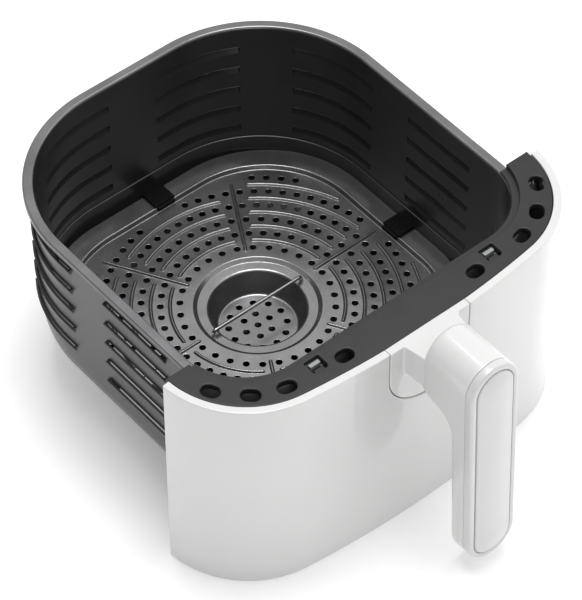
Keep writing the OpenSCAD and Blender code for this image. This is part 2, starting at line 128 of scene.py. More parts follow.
def rounded_path(corners: Sequence[Sequence[float]], steps: int = 4) -> np.ndarray:
    """Line through corners, each inner corner replaced by the arc that touches both of its legs.

    Args:
        corners: Rows of two coordinates and the radius at that corner.
        steps: Segments of each arc.

    Returns:
        (n, 2) array of points.
    """
    table = np.array(corners, float)
    points, radii = table[:, :2], table[:, 2]
    parts = [points[:1]]
    for before, here, after, radius in zip(points[:-2], points[1:-1], points[2:], radii[1:-1]):
        if radius <= 0:
            parts.append(here[None])
            continue
        back, ahead = before - here, after - here
        reach = min(np.linalg.norm(back), np.linalg.norm(ahead)) * 0.499
        back, ahead = back / np.linalg.norm(back), ahead / np.linalg.norm(ahead)
        half = math.acos(float(np.clip(back @ ahead, -1, 1))) / 2
        touch = min(radius / math.tan(half), reach)
        true_r = touch * math.tan(half)
        middle = here + (back + ahead) / np.linalg.norm(back + ahead) * true_r / math.sin(half)
        first, last = here + back * touch - middle, here + ahead * touch - middle
        turn = math.pi - 2 * half
        t = np.linspace(0, 1, steps + 1)[:, None]
        parts.append(middle + (np.sin((1 - t) * turn) * first + np.sin(t * turn) * last) / math.sin(turn))
    parts.append(points[-1:])
    return np.concatenate(parts)


def divided(points: np.ndarray, step: float, closed: bool = True) -> np.ndarray:
    """Same line with points added so that no piece is longer than step.

    Args:
        points: (n, 2) points of the line.
        step: Longest piece allowed.
        closed: Whether the line closes on itself.

    Returns:
        Array that holds every given point.
    """
    ends = np.roll(points, -1, 0) if closed else points[1:]
    starts = points if closed else points[:-1]
    counts = [max(1, math.ceil(np.linalg.norm(b - a) / step)) for a, b in zip(starts, ends)]
    pieces = [
        a + (b - a) * np.linspace(0, 1, n, endpoint=False)[:, None] for a, b, n in zip(starts, ends, counts)
    ]
    return np.concatenate(pieces if closed else [*pieces, points[-1:]])


def area_of(loop: np.ndarray) -> float:
    """Signed area of a closed line, positive if it runs anticlockwise."""
    ahead = np.roll(loop, -1, 0)
    return float(np.sum(loop[:, 0] * ahead[:, 1] - ahead[:, 0] * loop[:, 1]) / 2)


def grown(loop: np.ndarray, distance: float) -> np.ndarray:
    """Closed line moved outwards: each point along the sum of its two edge normals, scaled as a mitre.

    Args:
        loop: (n, 2) points of a closed line, either way round.
        distance: How far every edge moves outwards.

    Returns:
        (n, 2) array, point for point.
    """
    edge = np.roll(loop, -1, 0) - loop
    edge /= np.linalg.norm(edge, axis=1)[:, None]
    normal = np.stack([edge[:, 1], -edge[:, 0]], 1) * math.copysign(1, area_of(loop))
    before = np.roll(normal, 1, 0)
    share = 1 + np.sum(normal * before, 1)
    return loop + distance * (normal + before) / np.maximum(share, 0.3)[:, None]


# ---------------------------------------------------------------- meshes


class Draft:
    """Patches of one piece, welded into one mesh when it is built."""

    def __init__(self) -> None:
        """Starts empty."""
        self.points: list[np.ndarray] = []
        self.faces: list[list[int]] = []
        self.count = 0

    def push(self, points: np.ndarray) -> int:
        """Adds points.

        Args:
            points: Array whose last axis is a place.

        Returns:
            The number of the first of them.
        """
        flat = np.asarray(points, float).reshape(-1, 3)
        self.points.append(flat)
        self.count += len(flat)
        return self.count - len(flat)

    def tubes(self, stacks: np.ndarray, wrap: bool = True) -> None:
        """Quads between neighbouring rings of several ring stacks.

        Args:
            stacks: (tubes, rings, points, 3) array.
            wrap: Whether each ring is closed.
        """
        total, rings, n = stacks.shape[:3]
        start = self.push(stacks)
        t, i, j = np.meshgrid(
            np.arange(total), np.arange(rings - 1), np.arange(n if wrap else n - 1), indexing="ij"
        )
        here, ahead = start + (t * rings + i) * n, (j + 1) % n
        quads = np.stack([here + j, here + ahead, here + n + ahead, here + n + j], -1)
        self.faces += quads.reshape(-1, 4).tolist()

    def rings(self, rings: np.ndarray, wrap: bool = True) -> None:
        """Quads between neighbouring rings, given as a (rings, points, 3) array."""
        self.tubes(np.asarray(rings)[None], wrap)

    def fill(
        self, loops: Sequence[np.ndarray], lift: Lift, depth: float = 0, extra: np.ndarray | None = None
    ) -> None:
        """Triangles between the first closed line and the others, by a constrained Delaunay division.

        Args:
            loops: The outer line and then its holes, as (n, 2) arrays.
            lift: Places flat points and their depths in space.
            depth: Depth handed to lift.
            extra: Further flat points inside the region.
        """
        loops = [loops[0] if area_of(loops[0]) > 0 else loops[0][::-1], *loops[1:]]
        flat = np.concatenate([*loops, extra] if extra is not None and len(extra) else loops)
        starts = np.cumsum([0, *map(len, loops)])
        rings = [list(range(a, b)) for a, b in zip(starts[:-1], starts[1:])]
        made = delaunay_2d_cdt([Vector(p) for p in flat.tolist()], [], rings, 1, 1e-6, True)
        spots = np.array([flat[ids[0]] if ids else tuple(v) for v, ids in zip(made[0], made[3])])
        start = self.push(lift(spots, np.full(len(spots), float(depth))))
        kept = [f for f, ids in zip(made[2], made[5]) if ids == [0]]
        self.faces += (np.array(kept) + start).tolist()

    def build(self, name: str, is_shell: bool = False, sharp_deg: float = SHARP_DEG) -> bpy.types.Object:
        """Welds the patches and turns the faces outwards.

        Args:
            name: Name of the piece.
            is_shell: True for an open sheet whose outer side faces away from its middle.
            sharp_deg: Edges that fold by more than this stay sharp.

        Returns:
            The finished object, at the origin.
        """
        mesh = bpy.data.meshes.new(name)
        mesh.from_pydata((np.concatenate(self.points) * MM).tolist(), [], self.faces)
        bm = bmesh.new()
        bm.from_mesh(mesh)
        bmesh.ops.remove_doubles(bm, verts=bm.verts, dist=WELD * MM)
        bmesh.ops.dissolve_degenerate(bm, edges=bm.edges, dist=WELD * MM / 4)
        bmesh.ops.recalc_face_normals(bm, faces=bm.faces)
        if is_shell:
            middle = sum((v.co for v in bm.verts), Vector()) / len(bm.verts)
            facing = sum(f.normal.dot(f.calc_center_median() - middle) * f.calc_area() for f in bm.faces)
            if facing < 0:
                bmesh.ops.reverse_faces(bm, faces=bm.faces)
        loose = sum(not e.is_manifold for e in bm.edges)
        bm.to_mesh(mesh)
        bm.free()
        mesh.polygons.foreach_set("use_smooth", np.ones(len(mesh.polygons), bool))
        mesh.set_sharp_from_angle(angle=math.radians(sharp_deg))
        piece = bpy.data.objects.new(name, mesh)
        bpy.context.scene.collection.objects.link(piece)
        log.info("%s: %d faces, %d open edges", name, len(mesh.polygons), loose)
        return piece


def flat_xy(points: np.ndarray, depth: np.ndarray) -> np.ndarray:
    """Places plan points at the height given by depth."""
    return np.column_stack([points, depth])


def flat_xz(points: np.ndarray, depth: np.ndarray) -> np.ndarray:
    """Places front-view points at the Y given by depth."""
    return np.column_stack([points[:, 0], depth, points[:, 1]])


def edge_profile(low: float, high: float, low_r: float, high_r: float, steps: int = 4) -> np.ndarray:
    """Side of a slab as rows of inset and depth: a quarter circle, a straight wall, a quarter circle.

    Args:
        low: Depth of one face.
        high: Depth of the other face.
        low_r: Radius of the edge at low.
        high_r: Radius of the edge at high.
        steps: Segments of each quarter circle.

    Returns:
        (n, 2) array that starts on the low face and ends on the high face.
    """
    way = math.copysign(1, high - low)
    a = np.radians(np.linspace(0, 90, steps + 1))
    first = np.column_stack([low_r * (1 - np.sin(a)), low + way * low_r * (1 - np.cos(a))])
    last = np.column_stack([high_r * (1 - np.cos(a)), high - way * high_r * (1 - np.sin(a))])
    return np.concatenate([first if low_r > 0 else first[-1:], last if high_r > 0 else last[:1]])


def slab(
    draft: Draft,
    outer: np.ndarray,
    holes: Sequence[np.ndarray],
    depths: tuple[float, float],
    edges: tuple[float, float],
    hole_edges: tuple[float, float] = (0, 0),
    lift: Lift = flat_xy,
    extra: np.ndarray | None = None,
) -> None:
    """Closed slab: two filled faces joined by rounded sides, and by rounded walls through its holes.

    Args:
        draft: Receives the patches.
        outer: Closed outline.
        holes: Closed outlines of the holes.
        depths: Depths of the two faces.
        edges: Edge radii of the outline at the two faces.
        hole_edges: Edge radii of the holes at the two faces.
        lift: Places flat points and depths in space.
        extra: Further points inside both faces, for a slab that is bent by lift.
    """
    for loop, radii, inwards in [(outer, edges, -1)] + [(h, hole_edges, 1) for h in holes]:
        side = edge_profile(*depths, *radii)
        draft.rings(np.stack([lift(grown(loop, inwards * d), np.full(len(loop), z)) for d, z in side]))
    for k in (0, 1):
        loops = [grown(outer, -edges[k])] + [grown(h, hole_edges[k]) for h in holes]
        draft.fill(loops, lift, depths[k], extra)


def finish_with(
    piece: bpy.types.Object, material: bpy.types.Material, body: Body, slot: Slot, node: str
) -> None:
    """Dresses a piece, lets it ride on its body and stand for its CAD node.

    Args:
        piece: The finished object.
        material: Its material.
        body: The body that carries it.
        slot: The record's material slot; not used.
        node: The CAD node that it replaces.
    """
    piece.data.materials.clear()
    piece.data.materials.append(material)
    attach(piece, body.value)
    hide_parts(node)


def weigh_normals(piece: bpy.types.Object) -> None:
    """Lets large flat faces set the shading next to small round edges."""
    piece.modifiers.new("weighted", "WEIGHTED_NORMAL").keep_sharp = True


# ---------------------------------------------------------------- plans


@dataclass(frozen=True)
class Stations:
    """Points round a plan and their outward normals, both as (n, 2) arrays."""

    points: np.ndarray
    normals: np.ndarray

    def at(self, grow: float) -> np.ndarray:
        """The plan grown outwards by that much."""
        return self.points + grow * self.normals

    def rings(self, profile: np.ndarray) -> np.ndarray:
        """Plan carried through a profile with rows of growth and height.

        Args:
            profile: (m, 2) array.

        Returns:
            (m, n, 3) array of rings.
        """
        flat = self.points[None] + profile[:, None, :1] * self.normals[None]
        return np.concatenate([flat, np.broadcast_to(profile[:, None, 1:], (*flat.shape[:2], 1))], 2)


@dataclass(frozen=True)
class RoundedPlan:
    """Four-cornered plan with one corner radius at the front and one at the rear."""

    half_w: float
    front: float
    rear: float
    front_r: float
    rear_r: float

    def stations(
        self,
        side_y: np.ndarray | None = None,
        rear_deg: np.ndarray | None = None,
        rear_x: np.ndarray | None = None,
        corner: int = 20,
    ) -> Stations:
        """Right half from straight front, front corner, side, rear corner and straight rear, then its mirror.

        Args:
            side_y: Places along the straight side, from the front corner's end to the rear corner's start.
            rear_deg: Angles round the rear corner, from 0 to 90.
            rear_x: Places along the straight rear, from the corner's end to 0.
            corner: Segments of a corner that is given no angles.

        Returns:
            Anticlockwise stations, from the middle of the front.
        """
        front_c = (self.half_w - self.front_r, self.front_r - self.front)
        rear_c = (self.half_w - self.rear_r, self.rear - self.rear_r)
        front_x = np.linspace(0, front_c[0], 13)
        side_y = np.linspace(front_c[1], rear_c[1], 13) if side_y is None else side_y
        rear_deg = np.linspace(0, 90, corner + 1) if rear_deg is None else rear_deg
        rear_x = np.linspace(rear_c[0], 0, 9) if rear_x is None else rear_x
        turn = np.radians(np.linspace(-90, 0, corner + 1))
        back = np.radians(rear_deg)
        front_n = np.stack([np.cos(turn), np.sin(turn)], 1)
        rear_n = np.stack([np.cos(back), np.sin(back)], 1)

        def straight(x: np.ndarray | float, y: np.ndarray | float, facing: list[float]) -> tuple:
            """Points of a straight stretch, and the one normal that they share."""
            points = np.column_stack(np.broadcast_arrays(x, y))
            return points, np.tile(facing, (len(points), 1))

        parts = [
            straight(front_x, -self.front, [0.0, -1.0]),
            (front_c + self.front_r * front_n, front_n),
            straight(self.half_w, side_y, [1.0, 0.0]),
            (rear_c + self.rear_r * rear_n, rear_n),
            straight(rear_x, self.rear, [0.0, 1.0]),
        ]
        points = np.concatenate([p[:-1] for p, _ in parts[:-1]] + [parts[-1][0]])
        normals = np.concatenate([n[:-1] for _, n in parts[:-1]] + [parts[-1][1]])
        mirror = np.array([-1.0, 1.0])
        return Stations(
            np.concatenate([points, points[1:-1][::-1] * mirror]),
            np.concatenate([normals, normals[1:-1][::-1] * mirror]),
        )

    def front_line(self, grow: float, end_y: float) -> np.ndarray:
        """Open line round the front.

        Args:
            grow: How far outside the plan.
            end_y: Where both ends stop.

        Returns:
            (n, 2) array from the left side to the right side.
        """
        cx, cy = self.half_w - self.front_r, self.front_r - self.front
        r = self.front_r + grow
        start = 180 + math.degrees(math.asin(min(1.0, max(0.0, (cy - end_y) / r))))
        left = arc((-cx, cy), r, start, 270, 25)
        end = np.array([[-self.half_w - grow, end_y]]) if end_y > cy else left[:0]
        half = np.concatenate([end, left])
        return divided(np.concatenate([half, (half * [-1, 1])[::-1]]), LINE_STEP, closed=False)


@dataclass(frozen=True)
class FasciaPlan:
    """Bowed front between two round corners, the bow's radius found so that it runs smoothly into them."""

    half_w: float
    front: float
    corner_r: float = 63.0
    corner_y: float = -84.0

    @property
    def corner_x(self) -> float:
        """Distance of the corner's centre from the middle."""
        return self.half_w - self.corner_r

    @property
    def bow_r(self) -> float:
        """Radius of the circle through the front's middle that the corner circle touches from inside."""
        reach = self.front + self.corner_y
        return (self.corner_x**2 + reach**2 - self.corner_r**2) / (2 * (reach - self.corner_r))

    def line(self, inset: float, end_y: float) -> np.ndarray:
        """Open line round the front, from the left end at end_y to the right end.

        Args:
            inset: How far inside the outer face.
            end_y: Where both ends stop.

        Returns:
            (n, 2) array.
        """
        bow_y = self.bow_r - self.front
        touch = math.degrees(math.atan2(bow_y - self.corner_y, self.corner_x))
        r = self.corner_r - inset
        start = 180 + math.degrees(math.asin(min(1.0, (self.corner_y - end_y) / r)))
        left = arc((-self.corner_x, self.corner_y), r, start, 180 + touch, 37)
        bow = arc((0, bow_y), self.bow_r - inset, 180 + touch, 360 - touch, 65)
        right = (left * [-1, 1])[::-1]
        return np.concatenate([left, bow[1:-1], right])


def along(line: np.ndarray) -> np.ndarray:
    """Distance of each point of an open line from its start."""
    return np.concatenate([[0], np.cumsum(np.linalg.norm(np.diff(line, axis=0), axis=1))])


# ---------------------------------------------------------------- materials


class Wire:
    """A socket whose operators add Math nodes, and whose tools add Mix nodes."""

    def __init__(self, graph: "Graph", socket: bpy.types.NodeSocket) -> None:
        """Wraps a socket of a graph."""
        self.graph = graph
        self.socket = socket

    def math(self, operation: str, other: "Wire | float") -> "Wire":
        """Adds one Math node of that operation, this value being its first."""
        return self.graph.add("ShaderNodeMath", {"operation": operation}, {0: self, 1: other})

    def __add__(self, other: "Wire | float") -> "Wire":
        """Sum."""
        return self.math("ADD", other)

    def __mul__(self, other: "Wire | float") -> "Wire":
        """Product."""
        return self.math("MULTIPLY", other)

    def ramp(self, low: float, high: float) -> "Wire":
        """Smooth step from 0 at low to 1 at high."""
        settings = {"interpolation_type": "SMOOTHSTEP"}
        return self.graph.add("ShaderNodeMapRange", settings, {0: self, 1: low, 2: high})

    def tint(self, low: Sequence[float], high: Sequence[float]) -> "Wire":
        """Colour between two, this value being the share of the second."""
        values = {"Factor": self, "A": (*low, 1), "B": (*high, 1)}
        return self.graph.add("ShaderNodeMix", {"data_type": "RGBA"}, values, "Result")


class Graph:
    """Node tree of one material."""

    def __init__(self, name: str) -> None:
        """Makes the material with its output and surface shader.

        Args:
            name: The material's name.
        """
        self.material = bpy.data.materials.new(name)
        self.material.use_nodes = True
        self.tree = self.material.node_tree
        self.shader = self.tree.nodes["Principled BSDF"]
        self.place = self.add("ShaderNodeTexCoord", {}, {}, "Object")

    def put(self, node: bpy.types.Node, key: str | int, value: object) -> None:
        """Links or sets one input, skipping sockets that are switched off.

        Args:
            node: The node.
            key: The input's name or number.
            value: A wire to link, or a value to set.
        """
        if isinstance(key, str):
            socket = next(s for s in node.inputs if s.name == key and s.enabled)
        else:
            socket = node.inputs[key]
        if isinstance(value, Wire):
            self.tree.links.new(value.socket, socket)
        else:
            socket.default_value = value

    def add(self, kind: str, settings: dict, values: dict, output: str | int = 0) -> Wire:
        """Adds any node.

        Args:
            kind: Blender's node type.
            settings: Its properties, set first.
            values: Its inputs, by name or number, as numbers or wires.
            output: The output to hand back.

        Returns:
            That output.
        """
        node = self.tree.nodes.new(kind)
        for key, value in settings.items():
            setattr(node, key, value)
        for key, value in values.items():
            self.put(node, key, value)
        if isinstance(output, str):
            return Wire(self, next(s for s in node.outputs if s.name == output and s.enabled))
        return Wire(self, node.outputs[output])

    def noise(self, size_mm: float, detail: float = 2, stretch: Sequence[float] = (1, 1, 1)) -> Wire:
        """Cloudy value from about 0 to 1.

        Args:
            size_mm: Size of its features.
            detail: Number of finer layers.
            stretch: How far the features are drawn out along each axis.

        Returns:
            The value.
        """
        scale = tuple(1 / (size_mm * MM * s) for s in stretch)
        scaled = self.add("ShaderNodeMapping", {}, {"Vector": self.place, "Scale": scale})
        return self.add("ShaderNodeTexNoise", {}, {"Vector": scaled, "Scale": 1.0, "Detail": detail}, "Fac")

    def surface(self, **values: object) -> None:
        """Sets or links the shader's sockets, given with _ for a space."""
        for key, value in values.items():
            self.put(self.shader, key.replace("_", " "), value)

    def bump(self, height: Wire, distance_mm: float) -> Wire:
        """Bump node that raises the surface by height times distance_mm."""
        values = {"Height": height, "Distance": distance_mm * MM, "Strength": 1.0}
        return self.add("ShaderNodeBump", {}, values)


@dataclass(frozen=True)
class Finish:
    """One finish: a base colour that varies softly, a grain that roughens it, and its gloss."""

    name: str
    colour: tuple[float, float, float]
    roughness: float
    metallic: float = 0.0
    specular: float = 0.5
    coat: float = 0.0
    coat_roughness: float = 0.1
    edge_tint: float = 1.0
    cloud_mm: float = 30.0
    cloud: float = 0.08
    grain_mm: float = 0.5
    grain: float = 0.02
    grain_tone: float = 0.1
    haze: float = 0.05
    stretch: tuple[float, float, float] = (1, 1, 1)

    def make(self) -> bpy.types.Material:
        """Colour from a wide noise and a fine one, roughness from the wide one, bump from the fine one.

        Returns:
            The material.
        """
        graph = Graph(self.name)
        cloud = graph.noise(self.cloud_mm, 3)
        grain = graph.noise(self.grain_mm, 2, self.stretch)
        share = cloud * (1 - self.grain_tone) + grain * self.grain_tone
        dark = tuple(c * (1 - self.cloud) for c in self.colour)
        light = tuple(min(1.0, c * (1 + self.cloud)) for c in self.colour)
        graph.surface(
            Base_Color=share.ramp(0.3, 0.7).tint(dark, light),
            Roughness=cloud * (2 * self.haze) + (self.roughness - self.haze),
            Metallic=self.metallic,
            Specular_IOR_Level=self.specular,
            Specular_Tint=(self.edge_tint, self.edge_tint, self.edge_tint, 1),
            Coat_Weight=self.coat,
            Coat_Roughness=self.coat_roughness,
            Normal=graph.bump(grain, self.grain),
        )
        return graph.material


@dataclass(frozen=True)
class PaintedRimSheenCoat:
    """Dark non-stick coat, with a lighter, more metallic colour painted over the rolled rim as its sheen."""

    name: str = "pan_non_stick"
    wall: tuple[float, float, float] = (0.017, 0.0172, 0.0178)
    # rim colour and its heights: painted sheen, lighter and more metallic over the rim's top
    rim: tuple[float, float, float] = (0.18, 0.18, 0.184)
    painted_sheen_z: tuple[float, float] = (129.2, 130.6)
    roughness: float = 0.29

    def make(self) -> bpy.types.Material:
        """Colour and metal share rise with height over the rim, a painted sheen; a wide and a fine noise
        break both up.

        Returns:
            The material.
        """
        graph = Graph(self.name)
        height = graph.add("ShaderNodeSeparateXYZ", {}, {"Vector": graph.place}, "Z")
        cloud, grain = graph.noise(26, 3), graph.noise(0.45, 2)
        # painted sheen: share of the lighter rim colour, set by height alone
        up = height.ramp(self.painted_sheen_z[0] * MM, self.painted_sheen_z[1] * MM)
        share = (cloud * 0.6 + grain * 0.4).ramp(0.3, 0.7)
        low = share.tint(tuple(c * 0.8 for c in self.wall), tuple(c * 1.2 for c in self.wall))
        high = share.tint(tuple(c * 0.85 for c in self.rim), tuple(c * 1.15 for c in self.rim))
        ends = {"Factor": up, "A": low, "B": high}
        colour = graph.add("ShaderNodeMix", {"data_type": "RGBA"}, ends, "Result")
        graph.surface(
            Base_Color=colour,
            Roughness=cloud * 0.08 + (self.roughness - 0.04),
            Metallic=up * 0.85,
            Specular_IOR_Level=0.55,
            Normal=graph.bump(grain, 0.02),
        )
        return graph.material


@dataclass(frozen=True)
class Spangled:
    """Galvanised sheet: flat crystals, each with its own tone and gloss."""

    name: str = "galvanised"
    colour: tuple[float, float, float] = (0.55, 0.56, 0.58)
    crystal_mm: float = 5.0

    def make(self) -> bpy.types.Material:
        """One tone for each cell of a Voronoi division, blurred by a fine noise.

        Returns:
            The material.
        """
        graph = Graph(self.name)
        scale = (1 / (self.crystal_mm * MM),) * 3
        scaled = graph.add("ShaderNodeMapping", {}, {"Vector": graph.place, "Scale": scale})
        cell = graph.add("ShaderNodeTexVoronoi", {}, {"Vector": scaled, "Scale": 1.0}, "Color")
        tone = graph.add("ShaderNodeRGBToBW", {}, {"Color": cell})
        fine = graph.noise(0.6)
        dark, light = tuple(c * 0.8 for c in self.colour), tuple(c * 1.15 for c in self.colour)
        graph.surface(
            Base_Color=tone.tint(dark, light),
            Roughness=tone * 0.2 + 0.3,
            Metallic=0.9,
            Normal=graph.bump(tone * 0.6 + fine * 0.4, 0.02),
        )
        return graph.material


NON_STICK = PaintedRimSheenCoat()
TRAY_COAT = Finish("tray_non_stick", (0.28, 0.28, 0.284), 0.24, metallic=0.9, cloud_mm=14, cloud=0.12,
                   grain_mm=0.4, grain=0.02, grain_tone=0.5, haze=0.03, edge_tint=0.3)
BRIGHT_WIRE = Finish("wire_bright", (0.36, 0.36, 0.365), 0.24, metallic=1.0, grain_mm=0.12, grain=0.004,
                     stretch=(30, 1, 1), haze=0.06)
SILICONE = Finish("silicone_black", (0.0025, 0.0025, 0.0027), 0.5, specular=0.12, cloud_mm=5, cloud=0.2,
                  grain_mm=0.25, grain=0.01, haze=0.06)
DARK_PLASTIC = Finish("plastic_dark", (0.019, 0.0192, 0.0197), 0.36, specular=0.35, cloud_mm=22, cloud=0.1,
                      grain_mm=0.35, grain=0.012, grain_tone=0.4, haze=0.05)
WHITE_PLASTIC = Finish("plastic_white", (0.6, 0.6, 0.597), 0.3, coat=1.0, coat_roughness=0.03, cloud_mm=60,
                       cloud=0.012, grain_mm=1.6, grain=0.0015, grain_tone=0.2, haze=0.03)
COVER_PLASTIC = Finish("plastic_cover", (0.56, 0.56, 0.558), 0.3, coat=0.8, coat_roughness=0.06, cloud_mm=40,
                       cloud=0.015, grain_mm=1.2, grain=0.0015, grain_tone=0.2, haze=0.03)
GREY_PLASTIC = Finish("plastic_grey", (0.25, 0.255, 0.26), 0.5, cloud_mm=30, cloud=0.06, grain_mm=0.5,
                      grain=0.015, grain_tone=0.4)
BRASS = Finish("brass_turned", (0.68, 0.48, 0.2), 0.28, metallic=1.0, grain_mm=0.2, grain=0.006, haze=0.06)
SCREW_STEEL = Finish("steel_screw", (0.5, 0.5, 0.52), 0.3, metallic=1.0, grain_mm=0.2, grain=0.006, haze=0.08)


# ---------------------------------------------------------------- pan


@dataclass
class Pan:
    """Pressed pan with louvred walls, drawn as one sheet that is then given its thickness outwards."""

    box: np.ndarray = field(default_factory=lambda: node_box("pan"))
    rim_w: float = 6.5
    sheet: float = 1.3
    front_r: float = 40.0
    rear_r: float = 81.0
    fillet_r: float = 33.7
    rim_drop: float = 3.5
    ledge_z: float = 38.0
    ledge_w: float = 0.9
    rows: int = 5
    row_top: float = 115.5
    row_pitch: float = 16.8
    louvre_h: float = 5.1
    louvre_out: float = 2.2
    end_ramp: float = 0.7
    side_span: tuple[float, float] = (-59.0, -4.0)
    side_rear_y: float = 28.0
    corner_gap: tuple[float, float] = (36.0, 59.0)
    rear_x: float = 17.8
    step: float = 3.0
    hollow_h: float = 0.8

    @property
    def height(self) -> float:
        """Height of the rim's top."""
        return float(self.box[1, 2])

    def plan(self) -> RoundedPlan:
        """Plan of the wall's inside.

        Returns:
            The plan.
        """
        low, high = self.box
        half_w, front, rear = np.array([high[0], -low[1], high[1]]) - self.rim_w
        return RoundedPlan(half_w, front, rear, self.front_r, self.rear_r)

    def spaced(self, stops: Sequence[float], step: float) -> np.ndarray:
        """Places from stop to stop in steps no longer than step, every stop among them."""
        line = np.column_stack([stops, np.zeros(len(stops))])
        return divided(line, step, closed=False)[:, 0]

    def stations(self) -> tuple[Stations, np.ndarray]:
        """Stations with columns at every louvre's end.

        Returns:
            The stations, and for each whether the louvres are fully pressed out there, as 0 or 1.
        """
        plan = self.plan()
        cy, ry = plan.front_r - plan.front, plan.rear - plan.rear_r
        ramp, turn = self.end_ramp, math.degrees(self.end_ramp / plan.rear_r)
        (y0, y1), (a0, a1) = self.side_span, self.corner_gap
        y2 = self.side_rear_y
        side = self.spaced([cy, y0, y0 + ramp, y1 - ramp, y1, y2, y2 + ramp, ry], self.step)
        bend = self.spaced([0, a0 - turn, a0, a1, a1 + turn, 90], math.degrees(self.step / plan.rear_r))
        rear = self.spaced([plan.half_w - plan.rear_r, self.rear_x + ramp, self.rear_x, 0], self.step)
        stations = plan.stations(side, bend, rear)
        x, y = np.abs(stations.points[:, 0]), stations.points[:, 1]
        nx, ny = stations.normals.T
        angle = np.degrees(np.arctan2(ny, np.abs(nx)))
        half = ramp / 2
        on_side = (angle == 0) & (((y > y0 + half) & (y < y1 - half)) | (y > y2 + half))
        in_bend = (angle > 0) & (angle < 90) & ((angle < a0 - turn / 2) | (angle > a1 + turn / 2))
        on_rear = (angle >= 90 - 1e-6) & (x > self.rear_x + half)
        return stations, (on_side | in_bend | on_rear).astype(float)

    def bands(self) -> list[np.ndarray]:
        """Profile rows of growth, height and press-out, cut into bands at every louvre's open top edge.

        Returns:
            Bands from the rim down, each an (n, 3) array.
        """
        h, w = self.height, self.rim_w
        top = self.row_top
        rim = rounded_path([
            (w, h - self.rim_drop, 0), (w, h, 1.3), (0, h, 1.6), (0, top + 0.5, 0), (0, top, 0)], 5)
        bands = [np.column_stack([rim, np.zeros(len(rim))])]
        share = np.array([0, 0.1, 0.5, 0.92, 1.0])
        press = self.louvre_out * (1 - share)
        for i in range(self.rows):
            top = self.row_top - i * self.row_pitch
            strip = np.column_stack([np.zeros(len(share)), top - share * self.louvre_h, press])
            if i < self.rows - 1:
                below = top - self.row_pitch
                tail = np.array([[0, top - self.louvre_h - 0.4, 0], [0, below + 0.5, 0], [0, below, 0]])
            else:
                tail = self.foot()
            bands.append(np.concatenate([strip, tail]))
        return bands

    def foot(self) -> np.ndarray:
        """Lower wall with its small ledge, and the quarter ellipse down to the floor.

        Returns:
            (n, 3) rows of growth, height and press-out.
        """
        inset, z = self.ledge_w, self.ledge_z
        wall = rounded_path([(0, z + 4, 0), (0, z, 0.5), (-inset, z - 0.3, 0.5), (-inset, z - 2.5, 0)], 4)
        a = np.radians(np.linspace(6, 90, 16))
        centre = -self.fillet_r
        bend = np.column_stack([
            centre + (self.fillet_r - inset) * np.cos(a), self.sheet + self.fillet_r * (1 - np.sin(a))
        ])
        rows = np.concatenate([wall, bend])
        return np.column_stack([rows, np.zeros(len(rows))])

    def build(self) -> bpy.types.Object:
        """Stations carried through the bands, louvres pushed out along the normal, the floor closed.

        Returns:
            The pan.
        """
        draft = Draft()
        stations, pressed = self.stations()
        for band in self.bands():
            rings = stations.rings(band[:, :2])
            push = band[:, None, 2:] * pressed[None, :, None] * stations.normals[None]
            rings[..., :2] += push
            draft.rings(rings)
        edge = stations.at(-self.fillet_r)
        middle = edge.mean(0)
        share = np.array([1, 0.93, 0.9, 0.885, 0.87, 0.84, 0.5, 0.2, 0.0])
        rise = self.hollow_h * np.array([0, 0, 0.15, 0.5, 0.85, 1, 1, 1, 1])
        flat = middle + (edge - middle)[None] * share[:, None, None]
        height = np.broadcast_to((self.sheet + rise)[:, None, None], (*flat.shape[:2], 1))
        draft.rings(np.concatenate([flat, height], 2))
        piece = draft.build("pan_pressed", is_shell=True, sharp_deg=19)
        wall = piece.modifiers.new("sheet", "SOLIDIFY")
        wall.thickness = self.sheet * MM
        wall.offset = 1
        wall.use_even_offset = True
        wall.thickness_clamp = 0
        weigh_normals(piece)
        return piece


# ---------------------------------------------------------------- crisper tray


